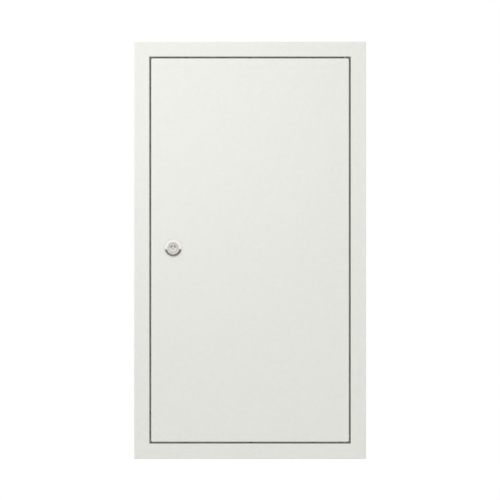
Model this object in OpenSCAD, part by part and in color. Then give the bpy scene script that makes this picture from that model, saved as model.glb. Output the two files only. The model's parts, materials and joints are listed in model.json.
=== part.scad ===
// Flush-mounted sheet-steel distribution enclosure with a collar frame and a concealed-hinge door.
// The box sits in a wall niche; only the collar frame, the door and its lock stand in the room.
// Origin: centre of the four wall fixing holes on the outside of the back panel.
// +Z is up, +Y points into the wall, and -Y points at the person who opens the door.

/* [Collar frame] */
// Overall width of the collar frame
frame_w = 400; // [360:2:480]
// Overall height of the collar frame
frame_h = 720; // [648:2:860]
// Visible border, from the outer edge to the door opening
frame_border = 26.5; // [25:0.5:30]
// How far the collar stands off the finished wall
frame_stand = 12; // [9:0.5:14]
// Sheet thickness of the collar frame
frame_sheet = 1.2; // [1:0.1:1.5]
// Outside radius of the collar's bends
frame_bend = 1.8; // [1.6:0.1:2.2]
// Depth of the rebate, from the front face to the back of its lip
rebate_depth = 17; // [16.5:0.5:20]
// Width of the lip behind the door's edge
lip_w = 10; // [9.5:0.5:12]

/* [Door] */
// Gap all round between the door and the collar
door_gap = 3; // [2.3:0.1:3.4]
// Depth of the door's folded returns
door_return = 12; // [11:0.5:12.5]
// Sheet thickness of the door
door_sheet = 1.2; // [1:0.1:1.5]
// Outside radius of the door's bends
door_bend = 1.8; // [1.6:0.1:2.2]
// Width of the crown of a door stiffener
stiffener_crown = 20; // [16:1:24]
// Height of a door stiffener
stiffener_rise = 8; // [6:0.5:10]
// Width of each brim of a door stiffener
stiffener_brim = 8; // [6:0.5:10]
// Sheet thickness of the door stiffeners
stiffener_sheet = 1; // [0.8:0.1:1.5]
// How far a stiffener ends short of the door's edge
stiffener_inset = 50; // [40:5:80]
// Distance from the left edge of the door to the left stiffener's middle
stiffener_left_x = 79; // [78:1:84]
// Distance from the right edge of the door to the right stiffener's middle
stiffener_right_x = 59; // [54:1:60]

/* [Document pocket] */
// Gap between the document pocket and the stiffener on each side
pocket_gap = 6; // [2:1:20]
// Outside height of the document pocket
pocket_h = 140; // [100:5:160]
// Outside depth of the document pocket
pocket_d = 14; // [10:0.5:16]
// Wall thickness of the document pocket
pocket_wall = 2; // [1.5:0.1:2.5]
// Width of the thumb notch in the pocket's front
notch_w = 60; // [40:2:80]
// Height of the pocket's bottom above the door's lower edge
pocket_rise = 90; // [60:5:120]

/* [Hinge] */
// Distance from the door's right edge to the pivot axis
pivot_inset = 6.5; // [6.3:0.1:7]
// Depth of the pivot axis behind the door's face
pivot_depth = 6; // [5.7:0.1:6.2]
// Diameter of the pivot pins
pin_d = 4; // [3.5:0.1:4.5]
// Outside diameter of the pivot bushes
bush_d = 7; // [6.6:0.1:7.4]
// Outside diameter of the bush flanges
bush_flange_d = 9; // [8.6:0.1:9.4]
// Length of a bush below its flange
bush_length = 4.2; // [3.5:0.1:5]
// Thickness of the upper bushes' flanges
bush_flange = 0.8; // [0.6:0.1:0.9]
// How far a pivot pin passes through the collar's edge
pin_reach = 4.3; // [3:0.1:5]
// Height of the carrier shelf below the door's top edge
carrier_drop = 31; // [28:1:36]
// Thickness of the carrier bracket
carrier_sheet = 1.5; // [1.2:0.1:2]
// Length of the lever on the upper pivot pin
lever_length = 16; // [12:1:18]
// Wire diameter of the pivot spring
spring_wire = 0.8; // [0.6:0.1:0.9]

/* [Lock] */
// Distance from the door's left edge to the lock's axis
lock_inset = 38; // [36:0.2:40]
// Height of the lock's axis above the middle of the door
lock_rise = 3.6; // [-10:0.1:10]
// Diameter of the lock's head
head_d = 29; // [28:0.5:32]
// Diameter of the flat face of the lock's head
face_d = 21.4; // [20:0.2:23]
// Height of the lock's head above its gasket
head_rise = 3.2; // [2.8:0.1:4]
// Diameter of the lock housing's thread
housing_d = 22; // [21:0.1:22.4]
// Width of the lock housing across its flats
housing_flats = 20; // [19:0.1:20.6]
// Diameter of the turning insert
insert_d = 15.8; // [15:0.1:16.4]
// Diameter of the key pocket
key_pocket_d = 10.4; // [9:0.1:11]
// Depth of the key pocket
key_pocket_depth = 8; // [6:0.5:9]
// Width of the bridge across the key pocket
key_bridge = 2.6; // [2:0.1:3]
// Diameter of the pin in the middle of the key pocket
key_pin_d = 4.2; // [3.4:0.1:4.8]
// Width of the cam across its arm
cam_w = 18; // [14:0.5:20]
// Distance from the lock's axis to the tip of the cam
cam_reach = 38; // [36:0.5:40]
// Thickness of the cam
cam_sheet = 2.5; // [2:0.1:3]
// Width across the hexagon of the lock nut
lock_nut_af = 27; // [26:0.5:28]
// Thickness of the lock nut
lock_nut_h = 5; // [4:0.5:6]

/* [Wall box] */
// How far the collar covers the box on each side
wall_cover = 20; // [19:0.5:22]
// Depth of the wall box
box_d = 95; // [95:1:130]
// Sheet thickness of the wall box
box_sheet = 1.2; // [1:0.1:1.5]
// Width of the flat ring welded round the box's mouth
box_flange = 16.2; // [15.5:0.1:17]
// Distance from the middle of an upright inwards to the nearest wall fixing hole
fixing_side = 40; // [20:1:60]
// Distance from the top or bottom of the box to the nearest wall fixing hole
fixing_inset = 28; // [22:1:32]
// Diameter of the wall fixing holes
fixing_d = 8; // [6:0.5:9]
// Distance between the knock-outs in a side wall
knockout_pitch = 125; // [100:5:140]

/* [Cable entries] */
// Width of the cable entry plates
plate_w = 250; // [240:2:260]
// Depth of the cable entry plates, from front to back
plate_d = 76; // [74:1:78]
// Thickness of the cable entry plates
plate_sheet = 1.5; // [1.2:0.1:2]
// Margin of an entry plate over its cut-out on each side
plate_margin = 10; // [9:0.5:11]
// Distance between neighbouring cable entries
entry_pitch = 36; // [34:0.5:37]
// Diameter of the open entries for glands
gland_hole_d = 25.5; // [20.5:0.5:26]
// Diameter of the entries closed with grommets
grommet_hole_d = 20.5; // [16:0.5:21]

/* [Mounting set] */
// Width of a rail upright
upright_w = 24; // [22:1:26]
// Depth of a rail upright
upright_d = 22; // [20:0.5:24]
// Sheet thickness of the rail uprights
upright_sheet = 1.5; // [1.2:0.1:2]
// Distance from the side of the box to the middle of an upright
upright_inset = 40; // [38:0.5:42]
// Vertical distance between neighbouring rails
row_pitch = 125; // [120:1:130]
// Width of one module of a device; each slot holds as many as fit between the uprights
module_w = 18; // [17.5:0.1:18]
// Height of the slot for the devices in each cover
slot_h = 46; // [45:0.5:48]
// Distance from the front of a rail to the back of a cover
device_reach = 46; // [44:0.5:47]
// Sheet thickness of the covers
cover_sheet = 1.2; // [1:0.1:1.5]
// Depth of the covers' folded returns
cover_return = 12; // [8:0.5:14]
// Gap between the covers and the lip round them
cover_gap = 2.5; // [2:0.1:4]
// How far a terminal bar passes the middle of an upright
bar_overhang = 6; // [4:0.5:7]
// Height of a terminal bar
bar_h = 10; // [9:0.5:11]
// Depth of a terminal bar, from front to back
bar_d = 8; // [7:0.5:9]
// Distance between neighbouring terminals
terminal_pitch = 10; // [9:0.5:12]
// Distance from the top or bottom of the box to the middle of the nearest terminal bar
bar_inset = 55; // [52:1:60]

/* [Hidden] */
$fn = 64;
tiny = 0.01;
through = 400;
running = 0.05;
play = 0.1;
rows = 4;

opening_w = frame_w - 2 * frame_border;
opening_h = frame_h - 2 * frame_border;
door_w = opening_w - 2 * door_gap;
door_h = opening_h - 2 * door_gap;
box_w = frame_w - 2 * wall_cover;
box_h = frame_h - 2 * wall_cover;

// Places along X and Z that follow from the box
upright_x = box_w / 2 - upright_inset;
post_side = 12;
modules = floor(2 * (upright_x - post_side) / module_w);
slot_w = modules * module_w;
bar_z = box_h / 2 - bar_inset;
bar_length = 2 * (upright_x + bar_overhang);

// Levels along Y, from the back of the box to the front of the door
back_y = -box_sheet;
mouth_y = -box_d;
front_y = mouth_y - rebate_depth;
lip_y = mouth_y - frame_sheet;
door_inner_y = front_y + door_sheet;
web_y = back_y - upright_d;
rail_rise = 7.5;
rail_y = web_y - rail_rise;
cover_back_y = rail_y - device_reach;
cover_y = cover_back_y - cover_sheet;
cam_gap = 0.6;
cam_y = mouth_y + box_sheet + cam_gap;

// Folded edges
edge_band = 6;
lip_x = opening_w / 2 - lip_w / 2;
lip_z = opening_h / 2 - lip_w / 2;

// Hinge axis and the pieces on it
pivot_x = door_w / 2 - pivot_inset;
pivot_y = front_y + pivot_depth;
top_z = door_h / 2;
shelf_z = top_z - carrier_drop;
pin_tip = 1;
pin_chamfer = 0.5;
lift_gap = 0.2;
clip_h = 1;
clip_d = pin_d + 4;
clip_z = top_z - bush_length - lift_gap - clip_h;
pin_tip_z = opening_h / 2 + frame_sheet + pin_reach;
lever_drop = 8.5;
lever_z = shelf_z - carrier_sheet - lever_drop;
spring_clear = 0.35;
spring_r = pin_d / 2 + spring_clear + spring_wire / 2;
spring_turns = 9;
coil_steps = 16;
coil_sides = 6;
rivet_head_d = pin_d + 4;
rivet_head_h = 1.5;
carrier_foot_x = 12;
carrier_foot_z = 16;
carrier_depth = 11;
carrier_clear = 2;

// Lock axis and the pieces on it
lock_x = -door_w / 2 + lock_inset;
gasket_h = 0.8;
head_y = front_y - gasket_h;
face_y = head_y - head_rise;
rim_h = 0.8;
washer_h = 1;
insert_flange_d = 19.4;
insert_flange_h = 1.4;
insert_sink = 0.3;
key_bridge_sink = 1;
key_pin_sink = 0.5;
square_w = 8;
cam_screw_d = 5;
cam_washer_d = 15;
cam_washer_h = 1.2;
cam_screw_bore = 9;
cam_hub = 5;

// Threads, and the lengths of the fasteners
m4 = 4;
m5 = 5;
m6 = 6;
strap_screw_length = 7;
plate_screw_length = 6.5;
rail_screw_length = 9;
cover_screw_length = 12;
frame_screw_length = 8;
cam_screw_length = 8;
upright_stud_length = 11;
door_stud_length = 12;
box_stud_length = 16;
m5_nut_af = 8;
m5_nut_h = 5;
m6_nut_af = 10;
m6_nut_h = 6;

// Collar screws and buffers in the rebate
frame_screw_z = [80, opening_h / 2 - 53.5];
frame_screw_x = opening_w / 2 - 63.5;
buffer_z = 180;
buffer_d = 8;
buffer_gap = 0.3;
buffer_chamfer = 0.5;
buffer_h = lip_y - (front_y + door_return) - buffer_gap;

// Uprights, rails and posts
upright_end = 19.8;
upright_half = box_h / 2 - box_sheet - upright_end;
foot_z = 14;
foot_nut_z = upright_half + foot_z / 2;
upright_slot_w = 8;
upright_slot_h = 9;
upright_slot_margin = 20;
rail_w = 35;
rail_floor_w = 27;
rail_sheet = 1;
rail_hole_pitch = 24;
rail_hole_h = 6.2;
rail_hole_w = 9;
post_inner_z = 12.5;
post_outer_z = bar_z + 21;
post_af = 8;
post_bore = 14;

// Covers and the strip that closes a slot
cover_half_w = opening_w / 2 - lip_w - cover_gap;
cover_half_h = opening_h / 2 - lip_w - cover_gap;
cover_seam = 1.5;
cover_bend = cover_sheet + 0.6;
strip_overlap = 2;
strip_face = 1.2;
strip_leg = 1.4;
strip_depth = 7;
strip_barb = 1;
strip_barb_h = 3;
strip_groove = 0.6;

// Terminal bars and their holders
holder_w = 14;
holder_h = 20;
holder_seat = 11;
holder_lip = 2;
wire_hole_d = 4.6;
terminal_slot = 0.8;
terminal_rise = 1.5;
terminals = 2 * floor((upright_x - holder_w) / terminal_pitch) - 1;

// Knock-outs in the side walls
knockout_small_d = 22;
knockout_large_d = 28;
knockout_front = box_d * 0.72;
knockout_back = box_d * 0.3;

// Masonry straps on the sides of the box
strap_z = box_h / 4;
strap_w = 30;
strap_leg = 15;
strap_foot = 26;
strap_sheet = 1.5;
strap_notch = 5;

// Cable entries and their grommets
entry_y = -box_d / 2;
open_entries = [-2.5, 2.5];
closed_entries = [-1.5, -0.5, 0.5, 1.5];
grommet_flange = 2;
grommet_brim = 2.8;
grommet_lip = 2.6;
grommet_wall = 2;
grommet_step = 2.6;
grommet_neck_r = 5.2;
grommet_tip_r = 4;
grommet_skin = 1;

// Earth studs
earth_x = box_w / 2 - 20;
earth_z = -bar_z - 22;
door_earth_x = door_w / 2 - 26;

function row_z(row) = (rows + 1 - 2 * row) * row_pitch / 2;

// ---- Sheet-metal shapes ----

// A quarter of a bend in section, centred at c, in the quadrant that q points to
module bend(c, q, r, t) {
    translate(c) intersection() {
        difference() {
            circle(r = r);
            circle(r = r - t);
        }
        translate([min(q.x, 0) * r, min(q.y, 0) * r]) square(r);
    }
}

// A face that folds back into a return, in section: x runs inwards and y runs backwards
module folded_edge(face, drop, r, t) {
    bend([r, r], [-1, -1], r, t);
    translate([r, 0]) square([face - r, t]);
    translate([0, r]) square([t, drop - r]);
}

// The collar in section, from its outer return over the face and down the rebate to the lip
module collar_section() {
    r = frame_bend;
    t = frame_sheet;
    bend([r, r], [-1, -1], r, t);
    bend([frame_border - r, r], [1, -1], r, t);
    bend([frame_border - t + r, rebate_depth - r], [-1, 1], r, t);
    translate([0, r]) square([t, frame_stand - r]);
    translate([r, 0]) square([frame_border - 2 * r, t]);
    translate([frame_border - t, r]) square([t, rebate_depth - 2 * r]);
    translate([frame_border - t + r, rebate_depth - t]) square([lip_w + t - r, t]);
}

// One side of a mitred frame: the section runs up the left side of a w by h rectangle
module mitred_side(w, h, reach) {
    intersection() {
        translate([-w / 2, 0, -h / 2]) linear_extrude(h) children();
        translate([-w / 2, through / 2, 0]) rotate([90, 0, 0]) linear_extrude(through)
            polygon([[0, -h / 2], [reach, reach - h / 2], [reach, h / 2 - reach], [0, h / 2]]);
    }
}

// Four mitred sides round a w by h rectangle
module mitred_ring(w, h, reach) {
    for (m = [0, 1]) {
        mirror([m, 0, 0]) mitred_side(w, h, reach) children();
        mirror([0, 0, m]) rotate([0, -90, 0]) mitred_side(h, w, reach) children();
    }
}

// A folded tray: a flat panel at y = 0 with returns that run towards +Y
module folded_tray(w, h, drop, r, t) {
    mitred_ring(w, h, edge_band) folded_edge(edge_band, drop, r, t);
    translate([edge_band - w / 2, 0, edge_band - h / 2])
        cube([w - 2 * edge_band, t, h - 2 * edge_band]);
}

// A hat section that stands on y = 0 and rises towards +Y
module hat_section(crown, rise, brim, t) {
    translate([-crown / 2, rise - t]) square([crown, t]);
    for (m = [0, 1]) mirror([m, 0]) {
        translate([crown / 2 - t, 0]) square([t, rise]);
        translate([crown / 2 - t, 0]) square([brim + t, t]);
    }
}

// ---- Fasteners and round shapes ----

// A cylinder along +Y from y = 0
module rod(d, length) {
    rotate([-90, 0, 0]) cylinder(d = d, h = length);
}

// A cone along +Y from y = 0
module taper(d1, d2, length) {
    rotate([-90, 0, 0]) cylinder(d1 = d1, d2 = d2, h = length);
}

// A screw with its head in front of y = 0 and its shank behind it
module pan_screw(d, length) {
    head = 2 * d;
    rise = 0.45 * d;
    chamfer = 0.2 * d;
    difference() {
        union() {
            translate([0, -rise, 0]) taper(head - 2 * chamfer, head, chamfer);
            translate([0, chamfer - rise, 0]) rod(head, rise - chamfer);
            rod(d, length - chamfer);
            translate([0, length - chamfer, 0]) taper(d, d - 2 * chamfer, chamfer);
        }
        for (a = [0, 90]) rotate([0, a, 0])
            translate([-head * 0.3, -rise - tiny, -head * 0.06]) cube([head * 0.6, rise * 0.7, head * 0.12]);
    }
}

// A hexagon nut along -Y from y = 0, with a round flange against it
module flange_nut(d, af, rise) {
    difference() {
        union() {
            translate([0, -rise, 0]) rotate([-90, 0, 0]) cylinder(d = af / cos(30), h = rise, $fn = 6);
            translate([0, -rise * 0.25, 0]) rod(af * 1.25, rise * 0.25);
        }
        translate([0, -rise - tiny, 0]) rod(d + 2 * running, rise + 2 * tiny);
    }
}

// A welded stud that stands on y = 0 and points to -Y
module weld_stud(d, length) {
    chamfer = d / 8;
    translate([0, chamfer - length, 0]) rod(d, length - chamfer);
    translate([0, -length, 0]) taper(d - 2 * chamfer, d, chamfer);
}

// A flanged bush along -Z: its flange stands on z = 0 and its barrel hangs below
module bush(flange) {
    difference() {
        union() {
            cylinder(d = bush_flange_d, h = flange);
            translate([0, 0, -bush_length]) cylinder(d = bush_d, h = bush_length + tiny);
        }
        translate([0, 0, -bush_length - tiny])
            cylinder(d = pin_d + 2 * running, h = bush_length + flange + 2 * tiny);
    }
}

// A round wire wound upwards from z = 0
module coil(mean_r, wire_r, height, turns) {
    steps = turns * coil_steps;
    rise = (height - 2 * wire_r) / steps;
    points = [
        for (i = [0:steps]) for (k = [0:coil_sides - 1])
            let (a = 360 * i / coil_steps, b = 360 * k / coil_sides, r = mean_r + wire_r * cos(b))
                [r * cos(a), r * sin(a), wire_r + rise * i + wire_r * sin(b)]
    ];
    walls = [
        for (i = [0:steps - 1]) for (k = [0:coil_sides - 1])
            let (a = i * coil_sides, n = (k + 1) % coil_sides)
                [a + k, a + n, a + coil_sides + n, a + coil_sides + k]
    ];
    first = [for (k = [coil_sides - 1:-1:0]) k];
    last = [for (k = [0:coil_sides - 1]) steps * coil_sides + k];
    polyhedron(points, concat([first], walls, [last]));
}

// ---- Places that several pieces share ----

// The four wall fixing holes
module at_fixings() {
    for (x = [-1, 1]) for (z = [-1, 1])
        translate([x * (upright_x - fixing_side), 0, z * (box_h / 2 - fixing_inset)]) children();
}

// The screws that hold the collar on the box: down the lock side and along the top and bottom
module at_frame_screws() {
    for (s = [-1, 1]) {
        for (z = frame_screw_z) translate([-lip_x, 0, s * z]) children();
        for (x = [-1, 1]) translate([x * frame_screw_x, 0, s * lip_z]) children();
    }
}

// The buffers: two on the lock side, one at the top and one at the bottom
module at_buffers() {
    for (s = [-1, 1]) {
        translate([-lip_x, 0, s * buffer_z]) children();
        translate([0, 0, s * lip_z]) children();
    }
}

// The feet of both uprights
module at_upright_feet() {
    for (x = [-1, 1]) for (z = [-1, 1]) translate([x * upright_x, 0, z * foot_nut_z]) children();
}

// The posts and screws of both covers
module at_cover_posts() {
    for (x = [-1, 1]) for (z = [-post_outer_z, -post_inner_z, post_inner_z, post_outer_z])
        translate([x * upright_x, 0, z]) children();
}

// The masonry straps, turned so that +X points out of the box
module at_straps() {
    for (m = [0, 1]) for (z = [-1, 1])
        mirror([m, 0, 0]) translate([box_w / 2, -box_d / 2, z * strap_z]) children();
}

// The entry plates' screws on the top of the box
module at_plate_screws() {
    for (x = [-1, 0, 1]) for (y = [-1, 1])
        translate([x * (plate_w / 2 - plate_margin / 2), entry_y + y * (plate_d / 2 - plate_margin / 2), 0])
            children();
}

// The chosen entries of an entry plate, given in pitches from its middle
module at_entries(places) {
    for (p = places) translate([p * entry_pitch, entry_y, 0]) children();
}

// ---- Wall box and what sits on it ----

module entry_cutout() {
    translate([plate_margin - plate_w / 2, entry_y - plate_d / 2 + plate_margin, 0])
        cube([plate_w - 2 * plate_margin, plate_d - 2 * plate_margin, box_h]);
}

// A shallow ring pressed into the right side wall, round a knock-out
module knockout_ring(d) {
    groove = box_sheet / 3;
    translate([box_w / 2 - groove, 0, 0]) rotate([0, 90, 0]) difference() {
        cylinder(d = d, h = groove + tiny);
        translate([0, 0, -tiny]) cylinder(d = d - 2 * groove, h = groove + 3 * tiny);
    }
}

// The wall box is welded from flat sheets: a back panel, two side walls, two end walls and a mouth ring
module back_panel() {
    color("silver") difference() {
        translate([-box_w / 2, back_y, -box_h / 2]) cube([box_w, box_sheet, box_h]);
        at_fixings() translate([0, back_y - tiny, 0]) rod(fixing_d, box_sheet + 2 * tiny);
    }
}

module side_walls() {
    color("silver") difference() {
        for (m = [0, 1]) mirror([m, 0, 0]) translate([box_w / 2 - box_sheet, mouth_y + box_sheet, -box_h / 2])
            cube([box_sheet, box_d - 2 * box_sheet, box_h]);
        at_straps() rotate([0, -90, 0]) cylinder(d = m4 + 2 * running, h = box_sheet + tiny);
        for (m = [0, 1]) mirror([m, 0, 0]) for (i = [-2:2]) {
            translate([0, -knockout_front, i * knockout_pitch]) knockout_ring(knockout_small_d);
            translate([0, -knockout_back, i * knockout_pitch]) knockout_ring(knockout_large_d);
        }
    }
}

// The top and bottom walls, each with a cut-out under its entry plate
module end_walls() {
    w = box_w - 2 * box_sheet;
    color("silver") difference() {
        for (m = [0, 1]) mirror([0, 0, m]) translate([-w / 2, mouth_y + box_sheet, box_h / 2 - box_sheet])
            cube([w, box_d - 2 * box_sheet, box_sheet]);
        for (m = [0, 1]) mirror([0, 0, m]) {
            translate([0, 0, box_h / 4]) entry_cutout();
            at_plate_screws() translate([0, 0, box_h / 2 - box_sheet - tiny])
                cylinder(d = m4 + 2 * running, h = box_sheet + 2 * tiny);
        }
    }
}

// A flat ring welded on the walls' front edges: the collar is screwed to it
module mouth_ring() {
    w = box_w - 2 * box_flange;
    h = box_h - 2 * box_flange;
    color("silver") difference() {
        translate([-box_w / 2, mouth_y, -box_h / 2]) cube([box_w, box_sheet, box_h]);
        translate([-w / 2, mouth_y - tiny, -h / 2]) cube([w, box_sheet + 2 * tiny, h]);
        at_frame_screws() translate([0, mouth_y - tiny, 0]) rod(m4 + 2 * running, box_sheet + 2 * tiny);
    }
}

module masonry_straps() {
    color("gainsboro") at_straps() difference() {
        union() {
            translate([0, -strap_foot / 2, -strap_w / 2]) cube([strap_sheet, strap_foot, strap_w]);
            translate([0, strap_foot / 2 - strap_sheet, -strap_w / 2])
                cube([strap_leg, strap_sheet, strap_w]);
        }
        translate([-tiny, 0, 0]) rotate([0, 90, 0])
            cylinder(d = m4 + 2 * running, h = strap_sheet + 2 * tiny);
        translate([strap_leg - strap_notch, 0, -strap_w / 8])
            cube([strap_notch + tiny, strap_foot, strap_w / 4]);
    }
}

module strap_screws() {
    color("lightgray") at_straps() translate([strap_sheet, 0, 0]) rotate([0, 0, 90])
        pan_screw(m4, strap_screw_length);
}

module cable_plate() {
    translate([0, 0, box_h / 2]) difference() {
        translate([-plate_w / 2, entry_y - plate_d / 2, 0]) cube([plate_w, plate_d, plate_sheet]);
        translate([0, 0, -tiny]) {
            at_entries(open_entries) cylinder(d = gland_hole_d, h = plate_sheet + 2 * tiny);
            at_entries(closed_entries) cylinder(d = grommet_hole_d, h = plate_sheet + 2 * tiny);
            at_plate_screws() cylinder(d = m4 + 2 * running, h = plate_sheet + 2 * tiny);
        }
    }
}

module cable_plate_top() {
    color("silver") cable_plate();
}

module cable_plate_bottom() {
    color("silver") mirror([0, 0, 1]) cable_plate();
}

module cable_plate_screws() {
    color("lightgray") for (m = [0, 1]) mirror([0, 0, m]) at_plate_screws()
        translate([0, 0, box_h / 2 + plate_sheet]) rotate([-90, 0, 0]) pan_screw(m4, plate_screw_length);
}

// A stepped rubber grommet that grips the edge of its hole in an entry plate
module grommet() {
    waist = grommet_hole_d / 2 - play;
    inner = waist - grommet_wall;
    brim_z = plate_sheet + grommet_flange;
    neck_z = plate_sheet + 2 * grommet_step;
    tip_z = neck_z + grommet_step;
    rotate_extrude() {
        polygon([
            [inner, -grommet_lip], [waist, -grommet_lip], [waist + grommet_wall - play, 0], [waist, 0],
            [waist, plate_sheet], [waist + grommet_brim, plate_sheet], [waist + grommet_brim, brim_z],
            [inner + grommet_skin, brim_z], [inner + grommet_skin, neck_z], [inner, neck_z]
        ]);
        translate([grommet_tip_r, neck_z - grommet_skin])
            square([inner + tiny - grommet_tip_r, grommet_skin]);
        translate([grommet_tip_r, neck_z - grommet_skin])
            square([grommet_neck_r - grommet_tip_r, tip_z - neck_z + grommet_skin]);
        translate([0, tip_z - 2 * grommet_skin]) square([grommet_tip_r + tiny, grommet_skin]);
    }
}

module entry_grommets() {
    at_entries(closed_entries) translate([0, 0, box_h / 2]) grommet();
}

module entry_grommets_top() {
    color("dimgray") entry_grommets();
}

module entry_grommets_bottom() {
    color("dimgray") mirror([0, 0, 1]) entry_grommets();
}

module box_earth_stud() {
    color("gold") translate([earth_x, back_y, earth_z]) weld_stud(m6, box_stud_length);
}

module box_earth_nut() {
    color("gold") translate([earth_x, back_y, earth_z]) flange_nut(m6, m6_nut_af, m6_nut_h);
}

// ---- Mounting set ----

module upright_studs() {
    color("silver") at_upright_feet() translate([0, back_y, 0]) weld_stud(m5, upright_stud_length);
}

module upright_nuts() {
    color("silver") at_upright_feet() translate([0, back_y - upright_sheet, 0])
        flange_nut(m5, m5_nut_af, m5_nut_h);
}

// A channel with its web to the front, a row of slots down the web and a foot at each end
module rail_upright() {
    half = upright_half;
    slots = floor((half - upright_slot_margin) / (row_pitch / 2) + 0.5);
    t = upright_sheet;
    difference() {
        union() {
            translate([-upright_w / 2, web_y, -half]) cube([upright_w, t, 2 * half]);
            for (m = [0, 1]) mirror([m, 0, 0])
                translate([upright_w / 2 - t, web_y, -half]) cube([t, upright_d, 2 * half]);
            for (m = [0, 1]) mirror([0, 0, m]) {
                translate([-upright_w / 2, web_y, half - t]) cube([upright_w, upright_d, t]);
                translate([-upright_w / 2, back_y - t, half - tiny]) cube([upright_w, t, foot_z + tiny]);
            }
        }
        for (row = [1:rows]) translate([0, web_y - tiny, row_z(row)]) rod(m5 + 2 * running, t + 2 * tiny);
        for (z = [-1, 1]) translate([0, back_y - t - tiny, z * foot_nut_z])
            rod(m5 + 2 * running, t + 2 * tiny);
        for (i = [0.5 - slots:1:slots - 0.5])
            translate([-upright_slot_w / 2, web_y - tiny, i * row_pitch / 2 - upright_slot_h / 2])
                cube([upright_slot_w, t + 2 * tiny, upright_slot_h]);
    }
}

module rail_upright_left() {
    color("gainsboro") translate([-upright_x, 0, 0]) rail_upright();
}

module rail_upright_right() {
    color("gainsboro") translate([upright_x, 0, 0]) rail_upright();
}

// A top-hat rail with a row of long holes down its floor
module din_rail(row) {
    length = 2 * upright_x + upright_w;
    holes = floor((upright_x - upright_w / 2) / rail_hole_pitch);
    color("whitesmoke") translate([0, web_y, row_z(row)]) difference() {
        rotate([0, 90, 0]) translate([0, 0, -length / 2]) linear_extrude(length) mirror([0, 1]) {
            translate([-rail_floor_w / 2, 0]) square([rail_floor_w, rail_sheet]);
            for (m = [0, 1]) mirror([m, 0]) {
                translate([rail_floor_w / 2 - rail_sheet, 0]) square([rail_sheet, rail_rise]);
                translate([rail_floor_w / 2 - rail_sheet, rail_rise - rail_sheet])
                    square([(rail_w - rail_floor_w) / 2 + rail_sheet, rail_sheet]);
            }
        }
        for (i = [-holes:holes]) translate([i * rail_hole_pitch, -rail_sheet - tiny, 0]) rotate([-90, 0, 0])
            linear_extrude(rail_sheet + 2 * tiny) {
                square([rail_hole_w, rail_hole_h], center = true);
                for (x = [-1, 1]) translate([x * rail_hole_w / 2, 0]) circle(d = rail_hole_h);
            }
        for (x = [-1, 1]) translate([x * upright_x, -rail_sheet - tiny, 0])
            rod(m5 + 2 * running, rail_sheet + 2 * tiny);
    }
}

module din_rail_screws() {
    color("silver") for (x = [-1, 1]) for (row = [1:rows])
        translate([x * upright_x, web_y - rail_sheet, row_z(row)]) pan_screw(m5, rail_screw_length);
}

// Two plastic blocks on the uprights with a seat for a terminal bar
module bar_holders(z) {
    for (m = [0, 1]) mirror([m, 0, 0]) translate([upright_x - holder_w / 2, 0, z]) difference() {
        translate([0, web_y - holder_seat - bar_d + holder_lip, -holder_h / 2])
            cube([holder_w, holder_seat + bar_d - holder_lip, holder_h]);
        translate([-tiny, web_y - holder_seat - bar_d, -bar_h / 2 - play])
            cube([holder_w + 2 * tiny, bar_d, bar_h + 2 * play]);
    }
}

module terminal_bar(z) {
    y = web_y - holder_seat - bar_d;
    half = (terminals - 1) / 2;
    translate([0, 0, z]) difference() {
        translate([-bar_length / 2, y, -bar_h / 2]) cube([bar_length, bar_d, bar_h]);
        for (i = [-half:half]) translate([i * terminal_pitch, 0, 0]) {
            translate([0, y + bar_d / 2, -bar_h]) cylinder(d = wire_hole_d, h = 2 * bar_h);
            translate([0, y - tiny, 0]) rod(m4 + 2 * running, bar_d / 2);
        }
    }
}

// The clamping screws of a terminal bar, each with a slot across its head
module terminal_screws(z) {
    half = (terminals - 1) / 2;
    front = web_y - holder_seat - bar_d - terminal_rise;
    for (i = [-half:half]) translate([i * terminal_pitch, front, z]) difference() {
        rod(m4, bar_d / 2);
        translate([-m4, -tiny, -terminal_slot / 2]) cube([2 * m4, terminal_slot, terminal_slot]);
    }
}

module neutral_holders() {
    color("steelblue") bar_holders(bar_z);
}

module neutral_bar() {
    color("goldenrod") terminal_bar(bar_z);
}

module neutral_screws() {
    color("silver") terminal_screws(bar_z);
}

module earth_holders() {
    color("seagreen") bar_holders(-bar_z);
}

module earth_bar() {
    color("goldenrod") terminal_bar(-bar_z);
}

module earth_screws() {
    color("silver") terminal_screws(-bar_z);
}

module cover_posts() {
    post_length = web_y - cover_back_y;
    color("silver") at_cover_posts() translate([0, cover_back_y, 0]) difference() {
        rotate([-90, 0, 0]) cylinder(d = post_af / cos(30), h = post_length, $fn = 6);
        translate([0, -tiny, 0]) rod(m4 + 2 * running, post_bore);
    }
}

// A folded cover from z = low to z = high, with a slot for each of the given rows
module device_cover(low, high, rows_here) {
    difference() {
        translate([0, cover_y, (low + high) / 2])
            folded_tray(2 * cover_half_w, high - low, cover_return, cover_bend, cover_sheet);
        for (row = rows_here) translate([-slot_w / 2, cover_y - tiny, row_z(row) - slot_h / 2])
            cube([slot_w, cover_sheet + 2 * tiny, slot_h]);
        at_cover_posts() translate([0, cover_y - tiny, 0]) rod(m4 + 2 * running, cover_sheet + 2 * tiny);
    }
}

module cover_upper() {
    color("whitesmoke") device_cover(cover_seam / 2, cover_half_h, [1, 2]);
}

module cover_lower() {
    color("whitesmoke") device_cover(-cover_half_h, -cover_seam / 2, [3, 4]);
}

module cover_screws() {
    color("dimgray") at_cover_posts() translate([0, cover_y, 0]) pan_screw(m4, cover_screw_length);
}

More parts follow.
